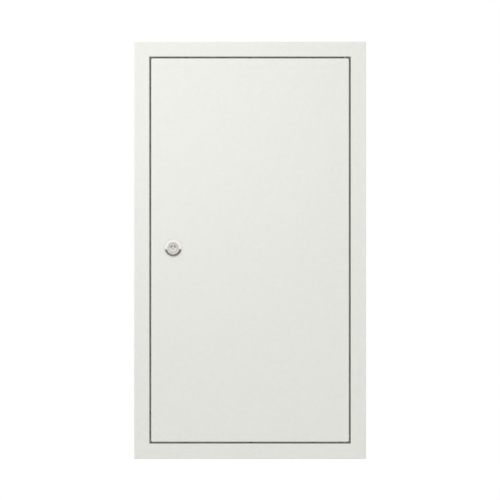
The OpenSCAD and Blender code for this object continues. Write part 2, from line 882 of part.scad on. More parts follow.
// A plastic strip that closes the lowest slot: it overlaps the slot in front and hooks behind it
module blanking_strip() {
    half = slot_h / 2 - play;
    length = slot_w - 2 * play;
    color("white") translate([0, cover_y, row_z(rows)]) difference() {
        rotate([0, 90, 0]) translate([0, 0, -length / 2]) linear_extrude(length) {
            translate([-slot_h / 2 - strip_overlap, -strip_face])
                square([slot_h + 2 * strip_overlap, strip_face]);
            for (m = [0, 1]) mirror([m, 0]) translate([half - strip_leg, 0]) {
                translate([0, -tiny]) square([strip_leg, strip_depth]);
                translate([0, cover_sheet + play]) polygon([
                    [0, 0], [strip_leg + strip_barb, 0], [strip_leg, strip_barb_h], [0, strip_barb_h]
                ]);
            }
        }
        for (i = [1:modules - 1])
            translate([i * module_w - slot_w / 2 - strip_groove / 2, -strip_face - tiny, -slot_h])
                cube([strip_groove, strip_face / 3, 2 * slot_h]);
    }
}

// ---- Collar frame ----

module front_frame() {
    color("white") difference() {
        translate([0, front_y, 0]) mitred_ring(frame_w, frame_h, frame_border + lip_w) collar_section();
        at_frame_screws() translate([0, lip_y - tiny, 0]) rod(m4 + 2 * running, frame_sheet + 2 * tiny);
        translate([pivot_x, pivot_y, opening_h / 2 - tiny])
            cylinder(d = bush_d + 2 * running, h = frame_sheet + 2 * tiny);
        translate([pivot_x, pivot_y, -opening_h / 2 - frame_sheet - tiny])
            cylinder(d = pin_d + 2 * running, h = frame_sheet + 2 * tiny);
    }
}

module frame_screws() {
    color("silver") at_frame_screws() translate([0, lip_y, 0]) pan_screw(m4, frame_screw_length);
}

module door_buffers() {
    color("black") at_buffers() translate([0, lip_y - buffer_h, 0]) {
        taper(buffer_d - 2 * buffer_chamfer, buffer_d, buffer_chamfer);
        translate([0, buffer_chamfer, 0]) rod(buffer_d, buffer_h - buffer_chamfer);
    }
}

module frame_bush_top() {
    color("black") translate([pivot_x, pivot_y, opening_h / 2]) mirror([0, 0, 1]) bush(bush_flange);
}

module hinge_pin_bottom() {
    color("silver") translate([pivot_x, pivot_y, 0]) {
        translate([0, 0, -opening_h / 2 - frame_sheet - rivet_head_h])
            cylinder(d = rivet_head_d, h = rivet_head_h);
        translate([0, 0, -opening_h / 2 - frame_sheet - tiny])
            cylinder(d = pin_d, h = frame_sheet + door_gap + bush_length + pin_reach);
        translate([0, 0, -top_z + bush_length + pin_reach - tiny])
            cylinder(d1 = pin_d, d2 = pin_d - 2 * pin_chamfer, h = pin_tip);
    }
}

// ---- Door ----

// The hole in the door for the lock, and the lock's thread: a circle with two flats
module flatted_rod(d, flats, length) {
    intersection() {
        rod(d, length);
        translate([-flats / 2, 0, -d]) cube([flats, length, 2 * d]);
    }
}

module door_leaf() {
    color("white") difference() {
        translate([0, front_y, 0]) folded_tray(door_w, door_h, door_return, door_bend, door_sheet);
        translate([lock_x, front_y - tiny, lock_rise])
            flatted_rod(housing_d + 4 * play, housing_flats + 4 * play, door_sheet + 2 * tiny);
        for (m = [0, 1]) mirror([0, 0, m]) translate([pivot_x, pivot_y, top_z - door_sheet - tiny])
            cylinder(d = bush_d + 2 * running, h = door_sheet + 2 * tiny);
    }
}

module door_stiffeners() {
    length = door_h - 2 * stiffener_inset;
    color("white") for (x = [stiffener_left_x - door_w / 2, door_w / 2 - stiffener_right_x])
        translate([x, door_inner_y, -length / 2]) linear_extrude(length)
            hat_section(stiffener_crown, stiffener_rise, stiffener_brim, stiffener_sheet);
}

// An open-topped pocket between the two stiffeners, with a thumb notch in its front wall
module document_pocket() {
    middle = (stiffener_left_x - stiffener_right_x) / 2;
    between = door_w - stiffener_left_x - stiffener_right_x - stiffener_crown - 2 * stiffener_brim;
    pocket_w = between - 2 * pocket_gap;
    color("lightgray") translate([middle, door_inner_y, pocket_rise - door_h / 2]) difference() {
        translate([-pocket_w / 2, 0, 0]) cube([pocket_w, pocket_d, pocket_h]);
        translate([pocket_wall - pocket_w / 2, pocket_wall, pocket_wall])
            cube([pocket_w - 2 * pocket_wall, pocket_d - 2 * pocket_wall, pocket_h]);
        translate([0, pocket_d - pocket_wall - tiny, pocket_h]) rod(notch_w, 2 * pocket_wall);
    }
}

module door_earth_stud() {
    color("gold") translate([door_earth_x, door_inner_y, -bar_z]) rotate([0, 0, 180])
        weld_stud(m6, door_stud_length);
}

module door_earth_nut() {
    color("gold") translate([door_earth_x, door_inner_y, -bar_z]) rotate([0, 0, 180])
        flange_nut(m6, m6_nut_af, m6_nut_h);
}

module hinge_bush_top() {
    color("black") translate([pivot_x, pivot_y, top_z]) bush(bush_flange);
}

// The lower bush carries the door: its flange fills the gap down to the collar
module hinge_bush_bottom() {
    color("black") translate([pivot_x, pivot_y, -top_z]) mirror([0, 0, 1]) bush(door_gap - lift_gap);
}

// A shelf under the spring, with a foot welded to the inside of the door
module hinge_carrier() {
    foot_x = pivot_x - bush_flange_d / 2 - carrier_clear - carrier_foot_x;
    right_x = door_w / 2 - door_bend;
    color("silver") difference() {
        union() {
            translate([foot_x, door_inner_y, shelf_z - carrier_foot_z])
                cube([carrier_foot_x, carrier_sheet, carrier_foot_z]);
            translate([foot_x, door_inner_y, shelf_z - carrier_sheet])
                cube([right_x - foot_x, carrier_depth, carrier_sheet]);
        }
        translate([pivot_x, pivot_y, shelf_z - carrier_sheet - tiny])
            cylinder(d = pin_d + 2 * running, h = carrier_sheet + 2 * tiny);
    }
}

module hinge_spring() {
    color("silver") translate([pivot_x, pivot_y, shelf_z])
        coil(spring_r, spring_wire / 2, clip_z - shelf_z, spring_turns);
}

module hinge_pin_top() {
    color("silver") translate([pivot_x, pivot_y, 0]) {
        translate([0, 0, lever_z]) cylinder(d = pin_d, h = pin_tip_z - lever_z - pin_tip);
        translate([0, 0, pin_tip_z - pin_tip - tiny])
            cylinder(d1 = pin_d, d2 = pin_d - 2 * pin_chamfer, h = pin_tip);
        translate([0, 0, lever_z]) sphere(d = pin_d);
        translate([0, 0, lever_z]) rotate([0, -90, 0]) cylinder(d = pin_d, h = lever_length);
    }
}

module hinge_clip() {
    color("dimgray") translate([pivot_x, pivot_y, clip_z]) difference() {
        cylinder(d = clip_d, h = clip_h);
        translate([0, 0, -tiny]) cylinder(d = pin_d + 2 * running, h = clip_h + 2 * tiny);
    }
}

// ---- Lock ----

// The housing: a conical head in front of the door and a flatted thread through it
module lock_body() {
    bore = insert_d + 3 * running;
    housing_end = cam_y - insert_flange_h - play;
    color("silver") translate([lock_x, 0, lock_rise]) difference() {
        union() {
            translate([0, face_y, 0]) taper(face_d, head_d, head_rise - rim_h);
            translate([0, head_y - rim_h, 0]) rod(head_d, rim_h);
            translate([0, head_y - tiny, 0]) flatted_rod(housing_d, housing_flats, housing_end - head_y);
        }
        translate([0, face_y - tiny, 0]) rod(bore, housing_end - face_y + 2 * tiny);
    }
}

module lock_gasket() {
    color("black") translate([lock_x, head_y, lock_rise]) difference() {
        rod(head_d - 1, gasket_h);
        translate([0, -tiny, 0]) rod(housing_d + 2 * play, gasket_h + 2 * tiny);
    }
}

module lock_washer() {
    color("silver") translate([lock_x, door_inner_y, lock_rise]) difference() {
        rod(head_d + 1, washer_h);
        translate([0, -tiny, 0]) rod(housing_d + 2 * play, washer_h + 2 * tiny);
    }
}

module lock_nut() {
    color("silver") translate([lock_x, door_inner_y + washer_h, lock_rise]) difference() {
        rotate([-90, 0, 0]) cylinder(d = lock_nut_af / cos(30), h = lock_nut_h, $fn = 6);
        translate([0, -tiny, 0]) rod(housing_d + 2 * running, lock_nut_h + 2 * tiny);
    }
}

// The turning insert: key pocket in front, flange and square behind
module lock_barrel() {
    front = face_y + insert_sink;
    color("gainsboro") translate([lock_x, 0, lock_rise]) difference() {
        union() {
            translate([0, front, 0]) rod(insert_d, cam_y - front);
            translate([0, cam_y - insert_flange_h, 0]) rod(insert_flange_d, insert_flange_h);
            translate([-square_w / 2, cam_y - tiny, -square_w / 2])
                cube([square_w, cam_sheet + tiny, square_w]);
        }
        difference() {
            translate([0, front - tiny, 0]) rod(key_pocket_d, key_pocket_depth);
            translate([-key_bridge / 2, front + key_bridge_sink, -insert_d / 2])
                cube([key_bridge, key_pocket_depth, insert_d]);
            translate([0, front + key_pin_sink, 0]) rod(key_pin_d, key_pocket_depth);
        }
        translate([0, cam_y + cam_sheet + tiny - cam_screw_bore, 0])
            rod(cam_screw_d + 2 * running, cam_screw_bore);
    }
}

// The cam hangs down while the lock is open
module lock_cam() {
    color("silver") translate([lock_x, cam_y, lock_rise]) rotate([-90, 0, 0]) linear_extrude(cam_sheet)
        difference() {
            union() {
                circle(d = cam_w + cam_hub);
                translate([-cam_w / 2, 0]) square([cam_w, cam_reach - cam_w / 2]);
                translate([0, cam_reach - cam_w / 2]) circle(d = cam_w);
            }
            square(square_w + 2 * play, center = true);
        }
}

module cam_washer() {
    color("silver") translate([lock_x, cam_y + cam_sheet, lock_rise]) difference() {
        rod(cam_washer_d, cam_washer_h);
        translate([0, -tiny, 0]) rod(cam_screw_d + 2 * play, cam_washer_h + 2 * tiny);
    }
}

module cam_screw() {
    color("dimgray") translate([lock_x, cam_y + cam_sheet + cam_washer_h, lock_rise]) rotate([0, 0, 180])
        pan_screw(cam_screw_d, cam_screw_length);
}

back_panel();
side_walls();
end_walls();
mouth_ring();
masonry_straps();
strap_screws();
cable_plate_top();
cable_plate_bottom();
cable_plate_screws();
entry_grommets_top();
entry_grommets_bottom();
box_earth_stud();
box_earth_nut();
upright_studs();
upright_nuts();
rail_upright_left();
rail_upright_right();
for (row = [1:rows]) din_rail(row);
din_rail_screws();
neutral_holders();
neutral_bar();
neutral_screws();
earth_holders();
earth_bar();
earth_screws();
cover_posts();
cover_upper();
cover_lower();
cover_screws();
blanking_strip();
front_frame();
frame_screws();
door_buffers();
frame_bush_top();
hinge_pin_bottom();
door_leaf();
door_stiffeners();
document_pocket();
door_earth_stud();
door_earth_nut();
hinge_bush_top();
hinge_bush_bottom();
hinge_carrier();
hinge_spring();
lock_body();
lock_gasket();
lock_washer();
lock_nut();
hinge_pin_top();
hinge_clip();
lock_barrel();
lock_cam();
cam_washer();
cam_screw();
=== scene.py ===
"""Looks of a flush-mounted sheet-steel enclosure: folded painted sheets, a nickel lock, zinc-plated
fittings and rubber parts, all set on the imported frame. Lengths are in metres."""

import json
import math

import bmesh
import bpy
from mathutils import Matrix, Vector


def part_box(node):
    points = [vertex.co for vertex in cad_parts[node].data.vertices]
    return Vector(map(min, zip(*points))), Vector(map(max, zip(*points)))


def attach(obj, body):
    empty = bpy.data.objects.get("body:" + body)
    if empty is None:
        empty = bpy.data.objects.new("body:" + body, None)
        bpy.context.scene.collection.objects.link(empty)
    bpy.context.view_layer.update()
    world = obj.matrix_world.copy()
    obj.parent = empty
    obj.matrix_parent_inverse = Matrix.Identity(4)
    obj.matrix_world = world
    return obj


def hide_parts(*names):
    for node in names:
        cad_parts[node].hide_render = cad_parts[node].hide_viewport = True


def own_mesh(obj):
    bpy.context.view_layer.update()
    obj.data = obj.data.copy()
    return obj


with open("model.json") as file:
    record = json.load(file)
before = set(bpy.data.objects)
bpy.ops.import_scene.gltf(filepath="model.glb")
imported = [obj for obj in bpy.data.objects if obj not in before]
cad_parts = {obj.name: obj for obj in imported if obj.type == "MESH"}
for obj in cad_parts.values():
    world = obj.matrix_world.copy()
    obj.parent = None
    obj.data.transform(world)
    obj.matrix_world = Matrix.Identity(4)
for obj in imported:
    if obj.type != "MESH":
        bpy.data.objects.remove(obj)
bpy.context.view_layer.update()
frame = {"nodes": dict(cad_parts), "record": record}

MM = 0.001
FRONT = Vector((0, -1, 0))  # towards the person in front of the door
BACK = Vector((0, 1, 0))
UP = Vector((0, 0, 1))

# Sizes of the collar, the door and the lock that a node's box doesn't tell
BORDER = 26.5 * MM  # width of the collar's face
RETURN = 12 * MM  # how far the collar stands out from the wall
REBATE = 17 * MM  # depth of the collar from its face to the back of the lip
LIP = 10 * MM  # how far the lip reaches inwards
SHEET = 1.2 * MM  # thickness of the collar and the door
BEND = 1.8 * MM  # outside radius of a fold
CUT_EDGE = 0.25 * MM  # rounding of a painted cut edge
BUSH_HOLE = 7.1 * MM
M4_HOLE = 4.1 * MM
HEAD_R = 14.5 * MM  # radius of the lock's conical head at the door
FACE_R = 10.7 * MM  # and at its flat face
THREAD_R = 11 * MM
THREAD_FLATS = 20 * MM  # width across the two flats of the lock's thread
INSERT_R = 7.9 * MM

WELD = 2e-6  # corners of a node that are nearer than this are one corner
NUT_CHAMFER = 0.55  # how steeply the corners of a nut fall away


# ---- Finishes ----


def mixed_colour(tree, factor, start, end):
    """A colour that runs from start to end with the factor."""
    node = tree.nodes.new("ShaderNodeMix")
    node.data_type = "RGBA"
    factor_in, start_in, end_in = node.inputs[0], node.inputs[6], node.inputs[7]
    start_in.default_value = (*start, 1.0)
    end_in.default_value = (*end, 1.0)
    tree.links.new(factor, factor_in)
    return node.outputs[2]


class Finish:
    """One surface finish: a Principled shader and the nodes that vary it over the piece."""

    def __init__(self, name, colour, roughness, metallic=0.0, **sockets):
        self.material = bpy.data.materials.new(name)
        self.material.use_nodes = True
        self.tree = self.material.node_tree
        self.shader = self.tree.nodes["Principled BSDF"]
        self.colour = colour
        self.set("Base Color", (*colour, 1.0))
        self.set("Roughness", roughness)
        self.set("Metallic", metallic)
        for socket, value in sockets.items():
            self.set(socket.replace("_", " "), value)
        self.place = self.tree.nodes.new("ShaderNodeTexCoord").outputs["Object"]
        self.normal = None

    def set(self, socket, value):
        self.shader.inputs[socket].default_value = value

    def link(self, out, into):
        self.tree.links.new(out, into)

    def noise(self, size, detail=2.0, stretch=(1, 1, 1)):
        """A noise with blobs about size across, drawn out along an axis whose stretch is small."""
        mapping = self.tree.nodes.new("ShaderNodeMapping")
        mapping.inputs["Scale"].default_value = stretch
        self.link(self.place, mapping.inputs["Vector"])
        node = self.tree.nodes.new("ShaderNodeTexNoise")
        node.inputs["Scale"].default_value = 1 / size
        node.inputs["Detail"].default_value = detail
        self.link(mapping.outputs["Vector"], node.inputs["Vector"])
        return node.outputs["Fac"]

    def cells(self, size):
        """A random grey for each of many crystals, about size across."""
        node = self.tree.nodes.new("ShaderNodeTexVoronoi")
        node.inputs["Scale"].default_value = 1 / size
        self.link(self.place, node.inputs["Vector"])
        grey = self.tree.nodes.new("ShaderNodeSeparateColor")
        self.link(node.outputs["Color"], grey.inputs["Color"])
        return grey.outputs["Red"]

    def spread(self, factor, low, high):
        """Stretches a noise, which stays near its middle, over the range from low to high."""
        node = self.tree.nodes.new("ShaderNodeMapRange")
        node.inputs["From Min"].default_value = 0.3
        node.inputs["From Max"].default_value = 0.7
        node.inputs["To Min"].default_value = low
        node.inputs["To Max"].default_value = high
        self.link(factor, node.inputs["Value"])
        return node.outputs["Result"]

    def vary_colour(self, factor, darker, lighter=1.0):
        """The colour runs from darker to lighter times itself with the factor."""
        dark = [c * darker for c in self.colour]
        light = [min(c * lighter, 1.0) for c in self.colour]
        colour = mixed_colour(self.tree, self.spread(factor, 0.0, 1.0), dark, light)
        self.link(colour, self.shader.inputs["Base Color"])

    def vary_roughness(self, factor, low, high):
        self.link(self.spread(factor, low, high), self.shader.inputs["Roughness"])

    def relief(self, factor, height, strength):
        """Adds a bump of the given height on top of what is there."""
        node = self.tree.nodes.new("ShaderNodeBump")
        node.inputs["Strength"].default_value = strength
        node.inputs["Distance"].default_value = height
        self.link(factor, node.inputs["Height"])
        if self.normal is not None:
            self.link(self.normal, node.inputs["Normal"])
        self.normal = node.outputs["Normal"]
        self.link(self.normal, self.shader.inputs["Normal"])


def powder_coat(name, colour):
    """Polyester powder: a soft sheen, a fine orange peel and a barely uneven colour."""
    f = Finish(name, colour, 0.42)
    f.vary_colour(f.noise(6 * MM, 6.0), 0.985, 1.012)
    f.vary_roughness(f.noise(9 * MM, 3.0), 0.38, 0.47)
    f.relief(f.noise(1.6 * MM, 3.0), 0.03 * MM, 0.35)
    f.relief(f.noise(0.35 * MM, 1.0), 0.006 * MM, 0.3)
    return f.material


def galvanised(name):
    """Hot-dip zinc on sheet: crystals of different greys under a thin grey haze."""
    f = Finish(name, (0.60, 0.62, 0.63), 0.38, metallic=1.0)
    f.vary_colour(f.cells(7 * MM), 0.86, 1.08)
    f.vary_roughness(f.noise(12 * MM, 4.0), 0.30, 0.50)
    f.relief(f.cells(7 * MM), 0.01 * MM, 0.2)
    f.relief(f.noise(0.8 * MM, 3.0), 0.008 * MM, 0.3)
    return f.material


def zinc_plate(name, colour=(0.66, 0.68, 0.70), roughness=0.27):
    """Bright zinc plate with faint drawing lines and cloudy patches."""
    f = Finish(name, colour, roughness, metallic=1.0)
    f.vary_colour(f.noise(5 * MM, 4.0), 0.93, 1.05)
    f.vary_roughness(f.noise(3 * MM, 3.0), roughness - 0.06, roughness + 0.10)
    f.relief(f.noise(0.5 * MM, 2.0, (0.08, 1, 1)), 0.005 * MM, 0.3)
    return f.material


def bright_nickel(name):
    """Polished nickel with hairline scratches."""
    f = Finish(name, (0.90, 0.88, 0.85), 0.09, metallic=1.0)
    f.vary_roughness(f.noise(2 * MM, 4.0), 0.06, 0.14)
    f.relief(f.noise(0.3 * MM, 2.0, (1, 1, 0.06)), 0.002 * MM, 0.15)
    return f.material


def satin_nickel(name):
    """Nickel on die-cast zinc: satin, with a slight grain from the casting."""
    f = Finish(name, (0.86, 0.845, 0.825), 0.20, metallic=1.0)
    f.vary_colour(f.noise(1.2 * MM, 4.0), 0.94, 1.04)
    f.vary_roughness(f.noise(1.5 * MM, 3.0), 0.16, 0.26)
    f.relief(f.noise(0.25 * MM, 2.0), 0.004 * MM, 0.3)
    return f.material


def drawn_brass(name):
    """Brass bar with drawing lines along its length and dull patches."""
    f = Finish(name, (0.80, 0.60, 0.27), 0.28, metallic=1.0)
    f.vary_colour(f.noise(6 * MM, 5.0), 0.86, 1.05)
    f.vary_roughness(f.noise(4 * MM, 3.0), 0.22, 0.40)
    f.relief(f.noise(0.4 * MM, 2.0, (0.05, 1, 1)), 0.006 * MM, 0.3)
    return f.material


def bare_steel(name, colour, roughness):
    """Turned or drawn steel with fine lines round its upright axis."""
    f = Finish(name, colour, roughness, metallic=1.0)
    f.vary_colour(f.noise(2 * MM, 3.0), 0.92, 1.04)
    f.vary_roughness(f.noise(2 * MM, 3.0), roughness - 0.06, roughness + 0.08)
    f.relief(f.noise(0.2 * MM, 1.0, (0.2, 0.2, 1)), 0.004 * MM, 0.3)
    return f.material


def black_zinc(name):
    """Black passivated zinc on screws and clips."""
    f = Finish(name, (0.055, 0.056, 0.06), 0.36, metallic=0.85)
    f.vary_colour(f.noise(1.5 * MM, 4.0), 0.7, 1.4)
    f.vary_roughness(f.noise(1.2 * MM, 3.0), 0.28, 0.5)
    return f.material


def rubber(name, colour):
    """Matt rubber with a dusty bloom."""
    f = Finish(name, colour, 0.72)
    f.vary_colour(f.noise(3 * MM, 5.0), 0.8, 1.35)
    f.vary_roughness(f.noise(2 * MM, 3.0), 0.64, 0.82)
    f.relief(f.noise(0.4 * MM, 3.0), 0.012 * MM, 0.4)
    return f.material


def moulded(name, colour, roughness):
    """Moulded plastic with an eroded grain from its tool."""
    f = Finish(name, colour, roughness, IOR=1.49)
    f.vary_colour(f.noise(8 * MM, 3.0), 0.97, 1.02)
    f.vary_roughness(f.noise(2 * MM, 3.0), roughness - 0.05, roughness + 0.07)
    f.relief(f.noise(0.5 * MM, 3.0), 0.01 * MM, 0.35)
    return f.material


WHITE_PAINT = (0.84, 0.848, 0.80)

FINISHES = {
    "frame_paint": powder_coat("frame_paint", WHITE_PAINT),
    "door_paint": powder_coat("door_paint", WHITE_PAINT),
    "cover_paint": powder_coat("cover_paint", WHITE_PAINT),
    "box_zinc": galvanised("box_zinc"),
    "plate_zinc": galvanised("plate_zinc"),
    "rail_zinc": zinc_plate("rail_zinc", (0.68, 0.69, 0.70), 0.30),
    "screw_zinc": zinc_plate("screw_zinc"),
    "cam_zinc": zinc_plate("cam_zinc", (0.64, 0.65, 0.66), 0.34),
    "pin_steel": bare_steel("pin_steel", (0.56, 0.55, 0.54), 0.22),
    "spring_steel": bare_steel("spring_steel", (0.48, 0.47, 0.46), 0.30),
    "dark_screw": black_zinc("dark_screw"),
    "brass": drawn_brass("brass"),
    "lock_nickel": bright_nickel("lock_nickel"),
    "insert_metal": satin_nickel("insert_metal"),
    "grommet_rubber": rubber("grommet_rubber", (0.045, 0.045, 0.048)),
    "buffer_rubber": rubber("buffer_rubber", (0.42, 0.425, 0.41)),
    "bush_plastic": moulded("bush_plastic", (0.20, 0.20, 0.195), 0.38),
    "strip_plastic": moulded("strip_plastic", (0.72, 0.73, 0.70), 0.46),
    "pocket_plastic": moulded("pocket_plastic", (0.45, 0.47, 0.48), 0.42),
    "holder_blue": moulded("holder_blue", (0.03, 0.12, 0.42), 0.42),
    "holder_green": moulded("holder_green", (0.04, 0.30, 0.07), 0.42),
}

SLOT_OF = {row["node"]: row["material_slot"] for row in frame["record"]["subparts"]}
BODY_OF = {
    node: body
    for body, nodes in frame["record"]["behaviour"]["bodies"].items()
    for node in nodes
}


# ---- Meshes ----


def link_object(name, mesh):
    """A new object in the scene that shows a mesh."""
    piece = bpy.data.objects.new(name, mesh)
    bpy.context.scene.collection.objects.link(piece)
    return piece


def mesh_from(bm, name):
    """Turns a bmesh into a mesh whose doubles are merged and whose faces point outwards."""
    bmesh.ops.remove_doubles(bm, verts=bm.verts, dist=1e-6)
    loose = [edge for edge in bm.edges if not edge.link_faces]
    bmesh.ops.delete(bm, geom=loose, context="EDGES")
    bmesh.ops.recalc_face_normals(bm, faces=bm.faces)
    mesh = bpy.data.meshes.new(name)
    bm.to_mesh(mesh)
    bm.free()
    return mesh


def soften(mesh, angle=40):
    """Smooth shading, with edges sharper than the angle left sharp."""
    mesh.shade_smooth()
    mesh.set_sharp_from_angle(angle=math.radians(angle))


def plain_mesh(piece):
    """Replaces a piece's modifiers by the mesh that they make."""
    graph = bpy.context.evaluated_depsgraph_get()
    graph.update()
    made = bpy.data.meshes.new_from_object(piece.evaluated_get(graph))
    piece.modifiers.clear()
    piece.data = made
    return piece


def wear(piece, node):
    """Gives a finished piece its finish and its body, and lets it stand for the node."""
    slot = SLOT_OF[node]
    piece.data.materials.clear()
    piece.data.materials.append(FINISHES[slot])
    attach(piece, BODY_OF[node])
    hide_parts(node)
    return piece


def level_normals(piece):
    """Keeps the flats flat where smooth edges run into them."""
    soften(piece.data, 50)
    normals = piece.modifiers.new("flats", "WEIGHTED_NORMAL")
    normals.keep_sharp = True
    return plain_mesh(piece)


def broken_edges(piece, width):
    """Breaks the sharp edges of a piece with a small rounded bevel."""
    bevel = piece.modifiers.new("edge", "BEVEL")
    bevel.width = width
    bevel.segments = 2
    bevel.limit_method = "ANGLE"
    bevel.angle_limit = math.radians(35)
    plain_mesh(piece)
    return level_normals(piece)


def dressed(node, width):
    """A node's own shape with broken edges and its finish."""
    bm = bmesh.new()
    bm.from_mesh(frame["nodes"][node].data)
    bmesh.ops.remove_doubles(bm, verts=bm.verts, dist=WELD)
    bmesh.ops.dissolve_limit(bm, angle_limit=math.radians(0.5), verts=bm.verts, edges=bm.edges)
    mesh = bpy.data.meshes.new(node + "_dressed")
    bm.to_mesh(mesh)
    bm.free()
    return wear(broken_edges(link_object(node + "_dressed", mesh), width), node)


def solids_of(node):
    """(lowest corner, highest corner) of each separate solid of a node, in a fixed order."""
    bm = bmesh.new()
    bm.from_mesh(frame["nodes"][node].data)
    bmesh.ops.remove_doubles(bm, verts=bm.verts, dist=WELD)
    seen, boxes = set(), []
    for start in bm.verts:
        if start in seen:
            continue
        seen.add(start)
        stack, places = [start], []
        while stack:
            v = stack.pop()
            places.append(v.co.copy())
            for edge in v.link_edges:
                other = edge.other_vert(v)
                if other not in seen:
                    seen.add(other)
                    stack.append(other)
        low = Vector([min(p[i] for p in places) for i in range(3)])
        high = Vector([max(p[i] for p in places) for i in range(3)])
        boxes.append((low, high))
    bm.free()
    return sorted(boxes, key=lambda b: [round(c, 5) for c in b[0]])


def rounded_outline(corners, steps=6):
    """An outline through corners given as (x, y, radius), each corner rounded by its radius."""
    points = []
    for i, (x, y, radius) in enumerate(corners):
        here = Vector((x, y))
        if radius <= 0:
            points.append(here)
            continue
        before = (Vector(corners[i - 1][:2]) - here).normalized()
        after = (Vector(corners[(i + 1) % len(corners)][:2]) - here).normalized()
        half = before.angle(after) / 2
        centre = here + (before + after).normalized() * radius / math.sin(half)
        start = here + before * radius / math.tan(half) - centre
        end = here + after * radius / math.tan(half) - centre
        turn = -start.angle_signed(end)
        for k in range(steps + 1):
            cos, sin = math.cos(turn * k / steps), math.sin(turn * k / steps)
            x, y = start.x * cos - start.y * sin, start.x * sin + start.y * cos
            points.append(centre + Vector((x, y)))
    return points


def on_axis(points):
    """The (radius, height) points of an outline, none of them past the axis."""
    return [(max(p.x, 0.0), p.y) for p in points]


def skin(rings, name, closed=True, lids=False):
    """A mesh between rings of points, each ring as long as the next.

    Closed joins the last ring to the first; lids fills the first and the last ring.
    """
    bm = bmesh.new()
    rows = [[bm.verts.new(p) for p in ring] for ring in rings]
    pairs = list(zip(rows, rows[1:]))
    if closed:
        pairs.append((rows[-1], rows[0]))
    for row, after in pairs:
        for k in range(len(row)):
            n = (k + 1) % len(row)
            bm.faces.new((row[k], row[n], after[n], after[k]))
    if lids:
        bm.faces.new(rows[0])
        bm.faces.new(rows[-1])
    return mesh_from(bm, name)


def turned(name, outline, place=Matrix(), segments=96):
    """A turned part round the upward axis of its place.

    The outline is a closed one of (radius, height) points. A third number in a point is the width
    across two flats there.
    """
    rings = []
    for radius, height, *flats in outline:
        ring = []
        for k in range(segments):
            a = 2 * math.pi * (k + 0.5) / segments
            x, y = radius * math.cos(a), radius * math.sin(a)
            if flats:
                x = max(-flats[0] / 2, min(flats[0] / 2, x))
            ring.append(place @ Vector((x, y, height)))
        rings.append(ring)
    piece = link_object(name, skin(rings, name))
    soften(piece.data)
    return piece


def swept_round(section, width, height, front, plan_radius, steps=4):
    """Rings that carry a section round a rectangle: u runs inwards and v runs backwards."""
    rings = []
    for u, v in section:
        a, b, r = width / 2 - u, height / 2 - u, max(plan_radius - u, 0)
        ring = []
        for quarter, (sx, sz) in enumerate(((1, 1), (-1, 1), (-1, -1), (1, -1))):
            for k in range(steps + 1):
                angle = (quarter + k / steps) * math.pi / 2
                x = sx * (a - r) + r * math.cos(angle)
                z = sz * (b - r) + r * math.sin(angle)
                ring.append(Vector((x, front + v, z)))
        rings.append(ring)
    return rings


def toothed(radius, start, end, pitch, depth, flats=None):
    """The (radius, height) points of a thread from start to end, as rings with rounded crests."""
    count = max(1, round(abs(end - start) / pitch))
    step = (end - start) / count
    points = []
    for i in range(count):
        for share, drop in ((0.08, 1.0), (0.38, 0.0), (0.62, 0.0), (0.92, 1.0)):
            point = (radius - depth * drop, start + step * (i + share))
            points.append((*point, flats) if flats else point)
    return points


def combine(piece, operation, others):
    """Carries out a boolean operation on a piece with each of the others, and removes them."""
    for other in others:
        tool = piece.modifiers.new("combine", "BOOLEAN")
        tool.operation = operation
        tool.solver = "EXACT"
        tool.object = other
        plain_mesh(piece)
        bpy.data.objects.remove(other)


def cut(piece, *cutters):
    """Cuts the cutters out of a piece."""
    combine(piece, "DIFFERENCE", cutters)


def join(piece, *others):
    """Unites other pieces with a piece."""
    combine(piece, "UNION", others)


def rod(centre, axis, diameter, length, segments=64):
    """A cylinder centred on a point, along an axis."""
    place = Matrix.Translation(centre) @ axis.to_track_quat("Z", "Y").to_matrix().to_4x4()
    rings = [
        [
            place @ Vector((diameter / 2 * math.cos(a), diameter / 2 * math.sin(a), h))
            for a in (2 * math.pi * (k + 0.5) / segments for k in range(segments))
        ]
        for h in (-length / 2, length / 2)
    ]
    return link_object("rod", skin(rings, "rod", closed=False, lids=True))


def block(low, high, edge=0.0):
    """A box from its lowest to its highest corner, with rounded edges where edge is given."""
    bm = bmesh.new()
    bmesh.ops.create_cube(bm, size=1.0)
    for v in bm.verts:
        v.co = Vector([(low[i] + high[i]) / 2 + v.co[i] * (high[i] - low[i]) for i in range(3)])
    if edge:
        bmesh.ops.bevel(bm, geom=bm.edges[:], offset=edge, segments=2, profile=0.5, affect="EDGES")
    return link_object("block", mesh_from(bm, "block"))


def facing(centre, direction=FRONT):
    """A place at centre whose upward axis points in a direction, with its flats to the sides."""
    if direction == FRONT:
        return Matrix.Translation(centre) @ Matrix.Rotation(math.pi / 2, 4, "X")
    return Matrix.Translation(centre) @ direction.to_track_quat("Z", "Y").to_matrix().to_4x4()


# ---- Parts that repeat ----


